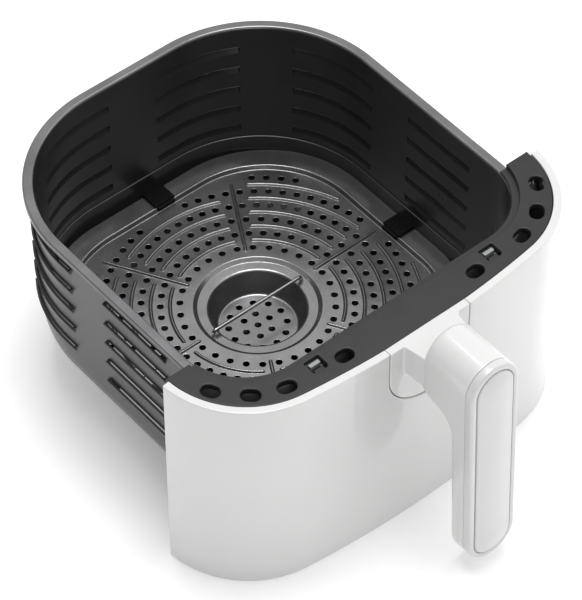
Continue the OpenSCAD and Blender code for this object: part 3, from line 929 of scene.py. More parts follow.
@dataclass
class CrisperTray:
    """Perforated tray: flange, step, ribbed face with air holes, sunken ring and cup."""

    box: np.ndarray = field(default_factory=lambda: node_box("crisper_tray"))
    flange_r: float = 75.0
    face_r: float = 62.0
    step_h: float = 2.5
    face_half: float = 97.6
    plate: float = 1.0
    hole_r: float = 2.1
    hole_edge: float = 0.15
    hole_gap: float = 8.5
    first_row: float = 47.0
    row_pitch: float = 11.7
    rows: int = 6
    rib_half: float = 1.35
    rib_h: float = 1.15
    rib_gap_deg: float = 6.0
    ring_r: float = 39.1
    ring_in: float = 35.9
    ring_drop: float = 2.0
    mouth_r: float = 29.3
    cup_r: float = 24.0
    round_count: int = 96
    notch_w: float = 12.0
    notch_depth: float = 10.4
    notch_shift: float = 8.0

    @property
    def half_w(self) -> float:
        """Half of the width over the flange."""
        return float(self.box[1, 0])

    @property
    def flange_z(self) -> float:
        """Top of the flange."""
        return float(self.box[1, 2])

    @property
    def face_z(self) -> float:
        """Top of the perforated face."""
        return self.flange_z - self.step_h

    def square(self, half_w: float, radius: float) -> RoundedPlan:
        """Square plan with that corner radius."""
        return RoundedPlan(half_w, half_w, half_w, radius, radius)

    def on_face(self, points: np.ndarray, room: float) -> np.ndarray:
        """Which points lie on the face at least room away from its outline.

        Args:
            points: (n, 2) places.
            room: Least distance from the outline.

        Returns:
            (n,) array of truth values.
        """
        core = self.face_half - self.face_r
        over = np.maximum(np.abs(points) - core, 0)
        return np.hypot(*over.T) <= self.face_r - room

    def hole_spots(self) -> np.ndarray:
        """Hole centres: even rows on circles, the number in each a multiple of six, kept where they fit.

        Returns:
            (n, 2) array.
        """
        rows = []
        for i in range(self.rows):
            r = self.first_row + i * self.row_pitch
            count = int(2 * math.pi * r / self.hole_gap / 6) * 6
            a = 2 * np.pi * (np.arange(count) + 0.5) / count
            rows.append(r * np.stack([np.cos(a), np.sin(a)], 1))
        spots = np.concatenate(rows)
        return spots[self.on_face(spots, self.hole_r + 2.6)]

    def rib_lines(self) -> list[np.ndarray]:
        """Centre lines of the ribs: six arcs between the spokes in each row, and the six spokes.

        Returns:
            Open lines as (n, 2) arrays.
        """
        lines = []
        for i in range(self.rows - 1):
            r = self.first_row + (i + 0.5) * self.row_pitch
            for k in range(6):
                line = arc((0, 0), r, 60 * k + self.rib_gap_deg, 60 * (k + 1) - self.rib_gap_deg, 41)
                kept = self.on_face(line, self.rib_half + 2.4)
                edges = np.flatnonzero(np.diff(np.concatenate([[0], kept.astype(int), [0]])))
                lines += [line[a:b] for a, b in edges.reshape(-1, 2) if b - a > 4]
        reach = np.linspace(self.first_row - 1.7, self.first_row + 4.55 * self.row_pitch, 24)
        for k in range(6):
            line = np.outer(reach, [math.cos(math.pi / 3 * k), math.sin(math.pi / 3 * k)])
            lines.append(line[self.on_face(line, self.rib_half + 2.4)])
        return lines

    def rib_loop(self, line: np.ndarray, half: float) -> np.ndarray:
        """Closed line at a distance from a centre line: along one side, round the end, back, round the start.

        Args:
            line: (n, 2) centre line.
            half: The distance.

        Returns:
            (2 n + 14, 2) array.
        """
        way = np.gradient(line, axis=0)
        way /= np.linalg.norm(way, axis=1)[:, None]
        side = np.stack([way[:, 1], -way[:, 0]], 1)
        t = np.radians(np.linspace(0, 180, 9))[1:-1, None]
        ahead = line[-1] + half * (np.cos(t) * side[-1] + np.sin(t) * way[-1])
        behind = line[0] - half * (np.cos(t) * side[0] + np.sin(t) * way[0])
        return np.concatenate([line + half * side, ahead, (line - half * side)[::-1], behind])

    def add_ribs(self, draft: Draft) -> list[np.ndarray]:
        """Each rib rises from its foot line through a hollow flank to a round crest.

        Args:
            draft: Receives the ribs.

        Returns:
            The foot lines, to be left out of the face.
        """
        t = np.linspace(0, 1, 11)
        widths = self.rib_half * (1 - t)
        heights = self.rib_h * np.sin(np.pi / 2 * t) ** 1.35
        feet = []
        for line in self.rib_lines():
            loops = np.stack([self.rib_loop(line, w) for w in widths])
            level = np.broadcast_to((self.face_z + heights)[:, None, None], (*loops.shape[:2], 1))
            draft.rings(np.concatenate([loops, level], 2))
            feet.append(loops[0])
        return feet

    def add_holes(self, draft: Draft, spots: np.ndarray, top: float) -> list[np.ndarray]:
        """Walls of round holes through the plate, their edges eased at both faces.

        Args:
            draft: Receives the walls.
            spots: (n, 2) centres.
            top: Height of the upper face.

        Returns:
            The holes' outlines on either face.
        """
        side = edge_profile(top, top - self.plate, self.hole_edge, self.hole_edge, 2)
        ring = circle(1, 20)
        radii = self.hole_r + side[:, 0]
        flat = spots[:, None, None] + radii[None, :, None, None] * ring[None, None]
        level = np.broadcast_to(side[None, :, 1, None, None], (*flat.shape[:3], 1))
        draft.tubes(np.concatenate([flat, level], 3))
        return list(spots[:, None] + (self.hole_r + self.hole_edge) * ring[None])

    def turned(self, profile: np.ndarray) -> np.ndarray:
        """Section with rows of radius and height, turned about the middle.

        Args:
            profile: (m, 2) array.

        Returns:
            (m, n, 3) array of rings.
        """
        ring = circle(1, self.round_count)
        flat = profile[:, None, :1] * ring[None]
        return np.concatenate([flat, np.broadcast_to(profile[:, None, 1:], (*flat.shape[:2], 1))], 2)

    def notched(self) -> np.ndarray:
        """Flange outline with a square notch for a bumper in the middle of each side, shifted along it.

        Returns:
            (n, 2) array, anticlockwise.
        """
        loop = self.square(self.half_w, self.flange_r).stations(corner=24).points
        quarter = loop[np.abs(np.degrees(np.arctan2(loop[:, 0], -loop[:, 1]))) <= 45.0001]
        quarter = quarter[np.argsort(np.arctan2(quarter[:, 0], -quarter[:, 1]))]
        left, right = -self.notch_shift - self.notch_w / 2, -self.notch_shift + self.notch_w / 2
        deep = self.notch_depth - self.half_w
        corners = np.array([[left, -self.half_w], [left, deep], [right, deep], [right, -self.half_w]])
        before = quarter[quarter[:, 0] < left - 0.5]
        after = quarter[quarter[:, 0] > right + 0.5]
        side = np.concatenate([before, corners, after])[:-1]
        turns = [np.array([[c, s], [-s, c]]) for c, s in ((1, 0), (0, 1), (-1, 0), (0, -1))]
        return np.concatenate([side @ turn for turn in turns])

    def build(self) -> bpy.types.Object:
        """Two parallel skins joined at the flange, each a face with a turned middle and a stepped border.

        Returns:
            The tray.
        """
        draft = Draft()
        top, under = self.face_z, self.face_z - self.plate
        ring_z = top - self.ring_drop
        floor_z = self.box[0, 2] + self.plate
        spots = self.hole_spots()
        feet = self.add_ribs(draft)
        holes = self.add_holes(draft, spots, top)
        cup_spots = np.concatenate([[[0.0, 0.0]], circle(9, 6), circle(18, 12)])
        cup_holes = self.add_holes(draft, cup_spots, floor_z)
        t = self.plate
        upper = rounded_path([
            (self.ring_r + 2, top, 0), (self.ring_r, top, 0.9), (self.ring_in + 0.6, ring_z, 0.9),
            (self.mouth_r + 0.6, ring_z - 0.4, 2.2), (self.cup_r + 0.8, floor_z, 1.6),
            (self.cup_r - 2.6, floor_z, 0),
        ], 6)
        lower = rounded_path([
            (self.ring_r + 2, under, 0), (self.ring_r - 0.6, under, 0.5), (self.ring_in, ring_z - t, 1.6),
            (self.mouth_r + 2.2, ring_z - t - 0.3, 1.6), (self.cup_r + 2.2, floor_z - t, 2.6),
            (self.cup_r - 2.6, floor_z - t, 0),
        ], 6)
        core = self.square(self.face_half - 1.6, self.face_r - 1.6).stations(corner=28)
        rise = self.step_h
        step_up = rounded_path([
            (0, top, 0), (1.8, top, 0.7), (3.5, top + rise, 0.9), (4.7, top + rise, 0)], 6)
        step_down = rounded_path([
            (0, under, 0), (2.6, under, 1.4), (4.2, under + rise, 0.5), (4.8, under + rise, 0)], 6)
        flange = self.notched()
        edge = edge_profile(self.flange_z, self.flange_z - t, 0.5, 0.3, 3)
        draft.rings(np.stack([flat_xy(grown(flange, -d), np.full(len(flange), z)) for d, z in edge]))
        for level, cup_level, section, border, cut, skin in (
            (top, floor_z, upper, step_up, 0.5, feet),
            (under, floor_z - t, lower, step_down, 0.3, []),
        ):
            draft.rings(self.turned(section))
            draft.rings(core.rings(border))
            mouth = circle(section[0, 0], self.round_count)
            draft.fill([core.at(0), mouth, *holes, *skin], flat_xy, level)
            draft.fill([circle(section[-1, 0], self.round_count), *cup_holes], flat_xy, cup_level)
            draft.fill([grown(flange, -cut), core.at(border[-1, 0])], flat_xy, border[-1, 1])
        piece = draft.build("crisper_tray_pressed")
        weigh_normals(piece)
        return piece


@dataclass
class GrabWire:
    """Wire bar over the cup, both ends bent down into the sunken ring."""

    box: np.ndarray = field(default_factory=lambda: node_box("grab_wire"))
    wire_r: float = 1.2
    bend_r: float = 2.6
    sunk: float = 1.3
    bar_z: float = 26.4

    def build(self) -> bpy.types.Object:
        """Circle carried along a line in the XZ plane, closed to a point at both ends.

        Each point is the line's plus cosine of the turn times the in-plane normal plus sine times Y.

        Returns:
            The wire.
        """
        half, foot = self.box[1, 0] - self.wire_r, self.box[0, 2] - self.sunk
        line = rounded_path([
            (-half, foot, 0), (-half, self.bar_z, self.bend_r), (half, self.bar_z, self.bend_r),
            (half, foot, 0)], 10)
        line = divided(line, 3, closed=False)
        way = np.gradient(line, axis=0)
        way /= np.linalg.norm(way, axis=1)[:, None]
        turn = np.linspace(0, 2 * np.pi, 25)[:-1]
        path = np.stack([line[:, 0], np.zeros(len(line)), line[:, 1]], 1)
        normal = np.stack([-way[:, 1], np.zeros(len(line)), way[:, 0]], 1)
        radius = np.concatenate([[0], np.full(len(line), self.wire_r), [0]])
        path, normal = (np.concatenate([a[:1], a, a[-1:]]) for a in (path, normal))
        across = np.array([0, 1.0, 0])
        spread = np.cos(turn)[None, :, None] * normal[:, None] + np.sin(turn)[None, :, None] * across
        draft = Draft()
        draft.rings(path[:, None] + radius[:, None, None] * spread)
        return draft.build("grab_wire_bent")


@dataclass
class Bumpers:
    """Four silicone clips on the tray's flange."""

    tray: CrisperTray
    lip: float = 1.6
    head: float = 2.0
    edge: float = 0.6

    def build(self, side: str, quarter_turns: int) -> bpy.types.Object:
        """Head, web, foot and a skirt down the step, each a rounded slab, turned by quarter turns.

        Args:
            side: Name of the side.
            quarter_turns: Number of quarter turns from the rear.

        Returns:
            The clip.
        """
        tray, draft = self.tray, Draft()
        half, shift = tray.notch_w / 2, tray.notch_shift
        top, under = tray.flange_z, tray.flange_z - tray.plate
        notch, face = tray.half_w - tray.notch_depth, tray.face_half
        turn = quarter_turns * math.pi / 2
        spin = np.array([[math.cos(turn), math.sin(turn)], [-math.sin(turn), math.cos(turn)]])

        def lift(points: np.ndarray, depth: np.ndarray) -> np.ndarray:
            """Turns plan points to the clip's side."""
            return np.column_stack([points @ spin, depth])

        def pad(reach: float, inner: float, outer: float) -> np.ndarray:
            """Rectangle round the notch."""
            left, right = shift - reach, shift + reach
            return np.array([[left, inner], [right, inner], [right, outer], [left, outer]])

        wide = half + self.lip
        for reach, inner, outer, low, high, low_r, high_r in (
            (wide, face + 1.9, tray.half_w + 0.2, top, top + self.head, 0.2, self.edge),
            (half - 0.1, notch + 0.1, tray.half_w, under - 0.2, top + 0.2, 0, 0),
            (wide, face + 2.4, tray.half_w - 1, under - self.head, under, self.edge, 0.2),
            (half + 0.4, face + 0.1, face + 3.4, tray.face_z + 0.15, top + self.head * 0.45, 0.2, self.edge),
        ):
            slab(draft, pad(reach, inner, outer), [], (low, high), (low_r, high_r), lift=lift)
        piece = draft.build(f"bumper_{side}_soft")
        weigh_normals(piece)
        return piece


# ---------------------------------------------------------------- front


@dataclass
class Front:
    """Fascia and collar, both following the fascia's plan on the outside and the pan's on the inside."""

    pan: Pan
    fascia_box: np.ndarray = field(default_factory=lambda: node_box("fascia"))
    collar_box: np.ndarray = field(default_factory=lambda: node_box("collar"))
    wall: float = 2.8
    edge_w: float = 5.0
    edge_h: float = 6.0
    notch_half: float = 29.7
    notch_z: float = 114.5
    soft: float = 0.8
    lap: float = 0.02
    floor_gap: float = 11.2
    lip_w: float = 4.8
    lip_t: float = 1.8
    window_x: float = 64.5
    window: tuple[float, float, float] = (10.0, -124.7, -134.4)
    oval: tuple[float, float] = (1.5, 4.25)
    oval_spots: tuple[tuple[float, float, float], ...] = (
        (121, -107, 62), (106, -123.3, 45), (87, -131.4, 14), (48.4, -134.6, 3))

    def plan(self) -> FasciaPlan:
        """Outer plan of the fascia."""
        return FasciaPlan(float(self.fascia_box[1, 0]), float(-self.fascia_box[0, 1]))

    def bent(self, line: np.ndarray) -> Lift:
        """Lift that wraps a flat sheet round an open line.

        Args:
            line: The open line; the sheet's first coordinate is the distance from its middle.

        Returns:
            A lift that takes distance and height, and moves inwards by depth.
        """
        place = along(line)
        place -= place[-1] / 2
        way = np.gradient(line, place, axis=0)
        way /= np.linalg.norm(way, axis=1)[:, None]
        inward = np.stack([-way[:, 1], way[:, 0]], 1)

        def lift(points: np.ndarray, depth: np.ndarray) -> np.ndarray:
            """Points on the line, moved inwards by depth.

            Args:
                points: (n, 2) distances and heights.
                depth: (n,) distances inwards.

            Returns:
                (n, 3) array.
            """
            spot = np.stack([np.interp(points[:, 0], place, line[:, k]) for k in (0, 1)], 1)
            turn = np.stack([np.interp(points[:, 0], place, inward[:, k]) for k in (0, 1)], 1)
            flat = spot + depth[:, None] * turn
            return np.column_stack([flat, points[:, 1]])

        return lift

    def fascia(self) -> bpy.types.Object:
        """Flat sheet with a round-bottomed notch, wrapped round the plan; a thicker top edge; a floor strip.

        Returns:
            The fascia.
        """
        draft = Draft()
        end_y = float(self.fascia_box[1, 1])
        low, high = float(self.fascia_box[0, 2]), float(self.fascia_box[1, 2])
        plan = self.plan()
        line = plan.line(0, end_y)
        reach = along(line)[-1] / 2
        lift = self.bent(line)
        notch = arc((0, self.notch_z), self.notch_half, 180, 360, 49)
        step = 2.6

        def run(*corners: tuple[float, float]) -> np.ndarray:
            """Straight runs between corners, divided finely enough to be bent."""
            return divided(np.array(corners), step, closed=False)

        outline = np.concatenate([
            run((-reach, high), (-reach, low), (reach, low), (reach, high)),
            run((reach, high), (self.notch_half, high))[1:],
            notch[::-1],
            run((-self.notch_half, high), (-reach, high))[:-1],
        ])
        s, z = np.meshgrid(np.arange(-reach + step, reach, step), np.linspace(low, high, 14)[1:-1])
        inside = np.column_stack([s.ravel(), z.ravel()])
        room = self.notch_half + 2.5
        clear = (np.abs(inside[:, 0]) > room) | (np.hypot(inside[:, 0], inside[:, 1] - self.notch_z) > room)
        clear &= (np.abs(inside[:, 0]) > room) | (inside[:, 1] < self.notch_z)
        slab(draft, outline, [], (0, self.wall), (self.soft, 0), lift=lift, extra=inside[clear])
        for side in (-1, 1):
            ends = sorted((side * (self.notch_half + self.lap), side * (reach - self.lap)))
            top = run((ends[0], high - self.lap), (ends[1], high - self.lap))
            edge = np.concatenate([top, (top - [0, self.edge_h])[::-1]])
            slab(draft, edge, [], (self.wall / 2, self.edge_w), (0, 0.5), lift=lift)
        outer = plan.line(self.wall / 2, end_y - self.lap)
        inner = self.pan.plan().front_line(self.floor_gap, end_y - self.lap)
        slab(draft, np.concatenate([outer, inner[::-1]]), [], (low + self.lap, low + self.wall), (0.1, 0.2))
        piece = draft.build("fascia_moulded")
        weigh_normals(piece)
        return piece

    def ovals(self) -> list[np.ndarray]:
        """Oval air slots along the collar, four on each side, turned with its curve.

        Returns:
            Eight closed lines.
        """
        loops = []
        for x, y, turn in self.oval_spots:
            a = math.radians(turn)
            spin = np.array([[math.cos(a), math.sin(a)], [-math.sin(a), math.cos(a)]])
            half, r = self.oval
            shape = np.concatenate([arc((half, 0), r, -90, 90, 13), arc((-half, 0), r, 90, 270, 13)]) @ spin
            loops += [shape + [x, y], (shape + [x, y])[::-1] * [-1, 1]]
        return loops

    def windows(self) -> list[np.ndarray]:
        """Square-backed openings over the two snap hooks, their front corners round.

        Returns:
            Two closed lines.
        """
        width, rear, front = self.window
        half = width / 2
        shape = rounded_path([
            (0, rear, 0), (-half, rear, 0.3), (-half, front, 2), (half, front, 2), (half, rear, 0.3),
            (0, rear, 0)], 4)
        return [shape[:-1] + [side * self.window_x, 0] for side in (-1, 1)]

    def collar(self) -> bpy.types.Object:
        """Raised plate with slots and windows, a lower lip over the pan's rim, a skirt, and the hooks' ramps.

        Returns:
            The collar.
        """
        draft = Draft()
        end_y = float(self.collar_box[1, 1])
        low, high = self.pan.height + 0.1, float(self.collar_box[1, 2])
        lip_z = low + self.lip_t
        plan, pan = self.plan(), self.pan.plan()
        outer = plan.line(self.edge_w + 0.4, end_y)
        inner = pan.front_line(self.lip_w, end_y)
        holes = [*self.ovals(), *self.windows()]
        slab(draft, np.concatenate([outer, inner[::-1]]), holes, (lip_z - 0.6, high), (0, 0.7), (0, 0.9))
        lip = np.concatenate([pan.front_line(self.lip_w + 3, end_y), pan.front_line(0.3, end_y)[::-1]])
        slab(draft, lip, [], (low, lip_z), (0.2, 0.6))
        skirt = np.concatenate([
            plan.line(self.edge_w + 0.4 + self.lap, end_y - 3.5),
            plan.line(self.edge_w + 2.6, end_y - 3.5)[::-1],
        ])
        slab(draft, skirt, [], (float(self.collar_box[0, 2]), lip_z + 0.5), (0.3, 0))
        width, rear, front = self.window
        for side in (-1, 1):
            x = side * self.window_x
            for half, y0, y1, z0, z1 in (
                (width / 2 + 0.3, rear + 0.6, rear - 3.0, lip_z - 3, high - 2.2),
                (width / 2 - 1.6, front + 3.4, front - 0.6, lip_z - 3, high - 1.9),
            ):
                block = np.array([[x - half, y1], [x + half, y1], [x + half, y0], [x - half, y0]])
                slab(draft, block, [], (z0, z1), (0, 0.5))
        piece = draft.build("collar_moulded")
        weigh_normals(piece)
        return piece


# ---------------------------------------------------------------- handle


@dataclass
class Handle:
    """Base plate, neck, arm and grip in one moulding, and the pillow-shaped cover on the grip."""

    body_box: np.ndarray = field(default_factory=lambda: node_box("handle_body"))
    cover_box: np.ndarray = field(default_factory=lambda: node_box("handle_cover"))
    lean: float = math.tan(math.radians(2.5))
    split_y: float = -198.5
    knee: tuple[float, float, float] = (-171.0, 91.0, 18.0)
    arm_back: float = -164.0
    grip_back: float = -189.0
    foot_back: float = -194.0
    plate_y: tuple[float, float] = (-151.5, -146.4)
    plate_half: float = 29.2
    plate_z: float = 114.5
    neck_top: float = 137.0
    neck_half: float = 19.3
    neck_low: float = 112.0
    neck_flare: float = 1.8
    back_r: float = 3.6
    boss_spots: tuple[tuple[float, float], ...] = ((-16, 117), (16, 117), (0, 95))
    boss_r: tuple[float, float] = (5.0, 3.25)
    groove_top: float = 56.0
    groove_depth: float = 0.55

    @property
    def half_w(self) -> float:
        """Half of the grip's width."""
        return float(self.cover_box[1, 0])

    @property
    def top(self) -> float:
        """Top of the grip."""
        return float(self.cover_box[1, 2])

    @property
    def bottom(self) -> float:
        """Bottom of the grip."""
        return float(self.cover_box[0, 2])

    def stadium(self, inset: float, trim: Callable[[np.ndarray], np.ndarray] | None = None) -> np.ndarray:
        """Front outline of the grip, a bar with round ends, drawn in by inset.

        Args:
            inset: Distance inside the full outline.
            trim: A further inset for each point, worked out from the full outline.

        Returns:
            (n, 2) array of X and Z, closed, right side first.
        """
        r = self.half_w
        high, low = self.top - r, self.bottom + r
        rise = np.concatenate([
            np.linspace(low, 86, 28), np.linspace(87.5, 107, 18), np.linspace(107.6, 113, 12),
            np.linspace(114.5, high, 8)])
        right = np.stack([np.ones_like(rise), np.zeros_like(rise)], 1)
        a = np.radians(np.linspace(0, 180, 33))[1:-1]
        ahead = np.stack([np.cos(a), np.sin(a)], 1)
        normal = np.concatenate([right, ahead, -right, -ahead])
        base = np.concatenate([
            np.stack([np.zeros_like(rise), rise], 1), np.tile([0, high], (len(a), 1)),
            np.stack([np.zeros_like(rise), rise[::-1]], 1), np.tile([0, low], (len(a), 1))])
        reach = np.full(len(base), r - inset)
        if trim is not None:
            reach = reach - trim(base + r * normal)
        return base + reach[:, None] * normal

    def split(self, z: np.ndarray) -> np.ndarray:
        """Y of the joint between moulding and cover at height z."""
        return self.split_y - (self.top - z) * self.lean

    def back(self, z: np.ndarray) -> np.ndarray:
        """Y of the back: leaning grip, quarter-circle knee, then a short steep rise to the arm's round end.

        Args:
            z: Heights.

        Returns:
            Y at each height.
        """
        y, level, r = self.knee
        grip = self.grip_back + (self.foot_back - self.grip_back) * (level - z) / (level - self.bottom)
        knee = y - np.sqrt(np.maximum(r**2 - (z - level) ** 2, 0))
        t = np.clip((z - level - r) / 3.5, 0, 1)
        arm = y + (self.arm_back - y) * t * t * (3 - 2 * t)
        return np.where(z < level, grip, np.where(z < level + r, knee, arm))

    def groove(self, outline: np.ndarray) -> np.ndarray:
        """Depth of the finger line low on the left flank.

        Args:
            outline: (n, 2) points of the full outline.

        Returns:
            Depth at each point.
        """
        x, z = outline.T
        fade = np.clip((self.groove_top - z) / 2, 0, 1) * np.clip((z - self.bottom - 9) / 6, 0, 1)
        return np.where(x < 0, self.groove_depth * fade, 0)

    def grip(self, draft: Draft) -> None:
        """Outline carried from the joint to the back, rounded into it and closed on its middle line.

        Args:
            draft: Receives the rings.
        """
        r = self.back_r
        rings = []
        for inset, ahead in ((self.half_w, 0), (9, 0), (2, 0), (0.35, 0), (0.1, 0.1), (0, 0.35)):
            flat = self.stadium(inset)
            rings.append(flat_xz(flat, self.split(flat[:, 1]) + ahead))
        for ahead, depth in ((0.9, 0), (1.1, 1), (4.6, 1), (4.9, 0)):
            flat = self.stadium(0, self.groove if depth else None)
            rings.append(flat_xz(flat, self.split(flat[:, 1]) + ahead))
        first = rings[-1][:, 1]
        last = self.back(self.stadium(0)[:, 1]) - r
        for t in (0.25, 0.5, 0.75):
            flat = self.stadium(0)
            rings.append(flat_xz(flat, first + (last - first) * t))
        for a in np.radians(np.linspace(0, 90, 8)):
            flat = self.stadium(r * (1 - math.cos(a)))
            rings.append(flat_xz(flat, self.back(flat[:, 1]) - r * (1 - math.sin(a))))
        for inset in (5.5, 8, 11, 14, self.half_w):
            flat = self.stadium(inset)
            rings.append(flat_xz(flat, self.back(flat[:, 1])))
        draft.rings(np.stack(rings))

    def neck_loop(self, half: float, low: float) -> np.ndarray:
        """Section of the neck: flat top with tight corners, wide round corners below.

        Args:
            half: Half of its width.
            low: Height of its underside.

        Returns:
            (n, 2) array of X and Z, closed.
        """
        path = rounded_path([
            (0, self.neck_top, 0), (-half, self.neck_top, 0.9), (-half, low, 6), (half, low, 6),
            (half, self.neck_top, 0.9), (0, self.neck_top, 0)], 7)
        return path[:-1]

    def neck(self, draft: Draft) -> None:
        """Section carried forwards: it flares in a quarter circle at the plate and narrows towards the arm.

        Args:
            draft: Receives the rings.
        """
        front, flare = self.plate_y[0], self.neck_flare
        a = np.radians(np.linspace(0, 90, 6))
        wide, low = self.neck_half, self.neck_low
        rows = [(wide + flare, low - flare, front + 2.5)]
        for t in a:
            out = flare * (1 - math.sin(t))
            rows.append((wide + out, low - out, front - flare * (1 - math.cos(t))))
        rows += [(wide - 2.2 * k, low - 2.4 * k, front - flare - 12 * k) for k in (0.25, 0.5, 0.75, 1.0)]
        rows.append((wide - 2.3, low - 2.2, front - flare - 18))
        loops = [self.neck_loop(half, foot) for half, foot, _ in rows]
        draft.rings(np.stack([flat_xz(loop, np.full(len(loop), y)) for loop, (_, _, y) in zip(loops, rows)]))
        for k in (0, -1):
            draft.fill([loops[k]], flat_xz, rows[k][2])

    def moulding(self) -> bpy.types.Object:
        """Plate, neck, grip and screw bosses as closed bodies of one piece.

        Returns:
            The grip's moulding.
        """
        draft = Draft()
        top = self.neck_top - 0.04
        corner = self.plate_half
        plate = np.concatenate([
            divided(np.array([[corner, top], [-corner, top], [-corner, self.plate_z]]), 4, closed=False)[:-1],
            arc((0, self.plate_z), corner, 180, 360, 49),
            divided(np.array([[corner, self.plate_z], [corner, top]]), 4, closed=False)[1:-1],
        ])
        slab(draft, plate, [], self.plate_y, (0.7, 0.3), lift=flat_xz)
        self.neck(draft)
        self.grip(draft)
        back = float(self.body_box[1, 1])
        for spot in self.boss_spots:
            outer, bore = (circle(r, 32, spot) for r in self.boss_r)
            slab(draft, outer, [bore], (self.plate_y[1] - 0.2, back), (0, 0.4), (0, 0.2), lift=flat_xz)
        piece = draft.build("handle_moulded")
        weigh_normals(piece)
        return piece

    def cover(self) -> bpy.types.Object:
        """Outline carried forwards from the joint, over a round rim, through a groove and over a pillow.

        Returns:
            The cover.
        """
        rim = rounded_path([(0.4, 0.2, 0), (0, 0.25, 0.2), (0, 5.4, 1.5), (3.4, 5.5, 0)], 6)
        groove = rounded_path([
            (3.4, 5.5, 0), (3.7, 5.3, 0.3), (3.8, 4.3, 0.2), (4.3, 4.3, 0.2), (4.45, 5.4, 0)], 3)[1:]
        t = np.linspace(0, 1, 9)[1:]
        turn = np.pi / 2 * t
        shoulder = np.column_stack([4.45 + 2.0 * (1 - np.cos(turn)), 5.4 + 0.9 * np.sin(turn)])
        far = self.half_w
        d = np.linspace(6.45, far, 12)[1:]
        pillow = np.column_stack([d, 6.3 + 1.3 * (1 - ((far - d) / (far - 6.45)) ** 2)])
        profile = np.concatenate([[[far, 0.2], [9, 0.2]], rim, groove, shoulder, pillow])
        rings = []
        for inset, ahead in profile:
            flat = self.stadium(inset)
            rings.append(flat_xz(flat, self.split(flat[:, 1]) - ahead))
        draft = Draft()
        draft.rings(np.stack(rings))
        return draft.build("handle_cover_pillow")


# ---------------------------------------------------------------- stage


@dataclass(frozen=True)
class Studio:
    """Pale floor, soft lights and the camera."""

    azimuth_deg: float = -39.994
    elevation_deg: float = 48.711
    distance_mm: float = 1962.64
    aim_mm: tuple[float, float, float] = (16.77, -11.13, 26.98)
    lens_mm: float = 195.5
    floor_z: float = -15.3
    floor_half: float = 4000.0
    floor_glow: float = 0.2
    bright_side: tuple[float, float, float] = (0.8, 0.3, 0.6)
    sky: tuple[float, float] = (0.08, 1.05)

    def camera(self) -> None:
        """Camera on a sphere round its aim, looking at the aim with +Z upwards in the picture."""
        a, e = math.radians(self.azimuth_deg), math.radians(self.elevation_deg)
        back = Vector((math.sin(a) * math.cos(e), -math.cos(a) * math.cos(e), math.sin(e)))
        data = bpy.data.cameras.new("camera")
        data.lens = self.lens_mm
        data.sensor_width = 36
        data.clip_start, data.clip_end = 0.05, 50
        camera = bpy.data.objects.new("camera", data)
        camera.location = (Vector(self.aim_mm) + back * self.distance_mm) * MM
        camera.rotation_mode = "QUATERNION"
        camera.rotation_quaternion = (-back).to_track_quat("-Z", "Y")
        bpy.context.scene.collection.objects.link(camera)
        bpy.context.scene.camera = camera

    def floor(self) -> None:
        """Wide flat sheet under the fascia."""
        reach = np.linspace(-self.floor_half, self.floor_half, 9)
        x, y = np.meshgrid(reach, reach, indexing="ij")
        draft = Draft()
        draft.rings(np.stack([x, y, np.full_like(x, self.floor_z)], 2), wrap=False)
        floor = draft.build("floor")
        pale = Finish("floor_pale", (0.9, 0.9, 0.9), 0.8, cloud=0.01, grain=0.0).make()
        shader = pale.node_tree.nodes["Principled BSDF"]
        shader.inputs["Emission Color"].default_value = (1, 1, 1, 1)
        shader.inputs["Emission Strength"].default_value = self.floor_glow
        floor.data.materials.append(pale)

    def light(self, name: str, place: Sequence[float], size: float, power: float) -> None:
        """Square soft light that looks at the middle of the basket.

        Args:
            name: Name of the light.
            place: Its place in metres.
            size: Its side in metres.
            power: Its power in watts.
        """
        data = bpy.data.lights.new(name, "AREA")
        data.shape = "SQUARE"
        data.size = size
        data.energy = power
        lamp = bpy.data.objects.new(name, data)
        lamp.location = place
        aim = Vector((0, -0.02, 0.06)) - Vector(place)
        lamp.rotation_mode = "QUATERNION"
        lamp.rotation_quaternion = aim.to_track_quat("-Z", "Y")
        bpy.context.scene.collection.objects.link(lamp)

    def build(self) -> None:
        """Sets up the camera, floor, lights, the pale surroundings and a plain view of the colours."""
        self.camera()
        self.floor()
        self.light("light_top", (0.12, 0.1, 1.8), 0.85, 20)
        self.light("light_right", (1.7, -0.9, 0.9), 1.0, 4)
        self.light("light_front", (-0.9, -1.4, 0.55), 0.5, 3)
        world = bpy.data.worlds.new("surroundings")
        world.use_nodes = True
        tree = world.node_tree
        place, dot, spread = (
            tree.nodes.new(k) for k in ("ShaderNodeTexCoord", "ShaderNodeVectorMath", "ShaderNodeMapRange"))
        dot.operation = "DOT_PRODUCT"
        dot.inputs[1].default_value = Vector(self.bright_side).normalized()
        for k, value in zip((1, 2, 3, 4), (-1, 1, *self.sky)):
            spread.inputs[k].default_value = value
        tree.links.new(place.outputs["Generated"], dot.inputs[0])
        tree.links.new(dot.outputs["Value"], spread.inputs[0])
        tree.links.new(spread.outputs[0], tree.nodes["Background"].inputs["Strength"])
        tree.nodes["Background"].inputs["Color"].default_value = (1, 1, 1, 1)
        bpy.context.scene.world = world
        bpy.context.scene.view_settings.view_transform = "Standard"


# ---------------------------------------------------------------- assembly


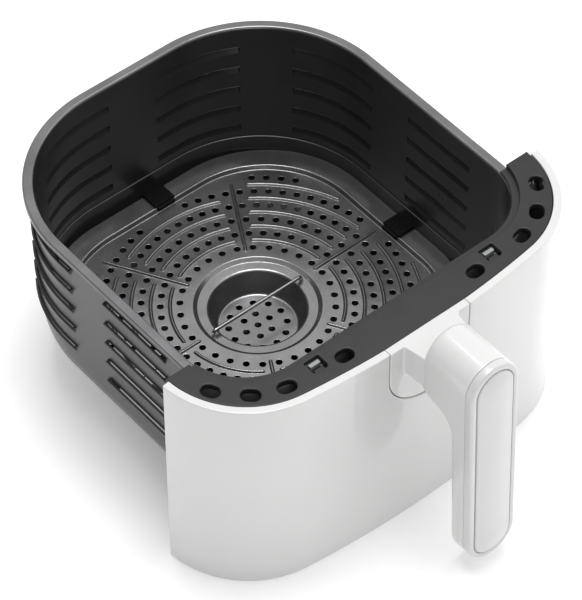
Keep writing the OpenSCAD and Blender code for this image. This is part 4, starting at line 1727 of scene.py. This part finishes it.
class Basket:
    """The whole basket: shaped pieces first, then the frame's own nodes in better finishes."""

    def __init__(self) -> None:
        """Reads the sizes that come from the frame."""
        self.pan = Pan()
        self.tray = CrisperTray()
        self.front = Front(self.pan)
        self.handle = Handle()

    def shaped(self) -> None:
        """Builds and dresses every piece that stands for a CAD node."""
        finish_with(self.pan.build(), NON_STICK.make(), Body.FIXED, Slot.PAN, "pan")
        finish_with(self.tray.build(), TRAY_COAT.make(), Body.TRAY, Slot.TRAY, "crisper_tray")
        finish_with(GrabWire().build(), BRIGHT_WIRE.make(), Body.TRAY, Slot.WIRE, "grab_wire")
        silicone = SILICONE.make()
        clips = Bumpers(self.tray)
        for turns, side in enumerate(("rear", "left", "front", "right")):
            finish_with(clips.build(side, turns), silicone, Body.TRAY, Slot.SILICONE, f"bumper_{side}")
        finish_with(self.front.collar(), DARK_PLASTIC.make(), Body.FIXED, Slot.DARK, "collar")
        white = WHITE_PLASTIC.make()
        finish_with(self.front.fascia(), white, Body.FIXED, Slot.WHITE, "fascia")
        finish_with(self.handle.moulding(), white, Body.FIXED, Slot.WHITE, "handle_body")
        finish_with(self.handle.cover(), COVER_PLASTIC.make(), Body.FIXED, Slot.COVER, "handle_cover")

    def carried(self) -> None:
        """Gives the frame's remaining nodes their finishes."""
        zinc, steel = Spangled().make(), SCREW_STEEL.make()
        for name, material, slot in (
            ("inner_panel", GREY_PLASTIC.make(), Slot.GREY),
            ("heat_shield", zinc, Slot.ZINC),
            ("pan_bracket", zinc, Slot.ZINC),
            ("handle_core", zinc, Slot.ZINC),
            ("handle_inserts", BRASS.make(), Slot.BRASS),
            ("handle_screws", steel, Slot.STEEL),
            ("core_screws", steel, Slot.STEEL),
            ("collar_screws", steel, Slot.STEEL),
            ("panel_screws", steel, Slot.STEEL),
        ):
            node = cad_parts[name]
            node.data.materials.clear()
            node.data.materials.append(material)
            log.info("%s: carried over", name)


def main() -> None:
    """Builds the studio and the basket."""
    Studio().build()
    basket = Basket()
    basket.shaped()
    basket.carried()


if __name__ == "__main__":
    main()
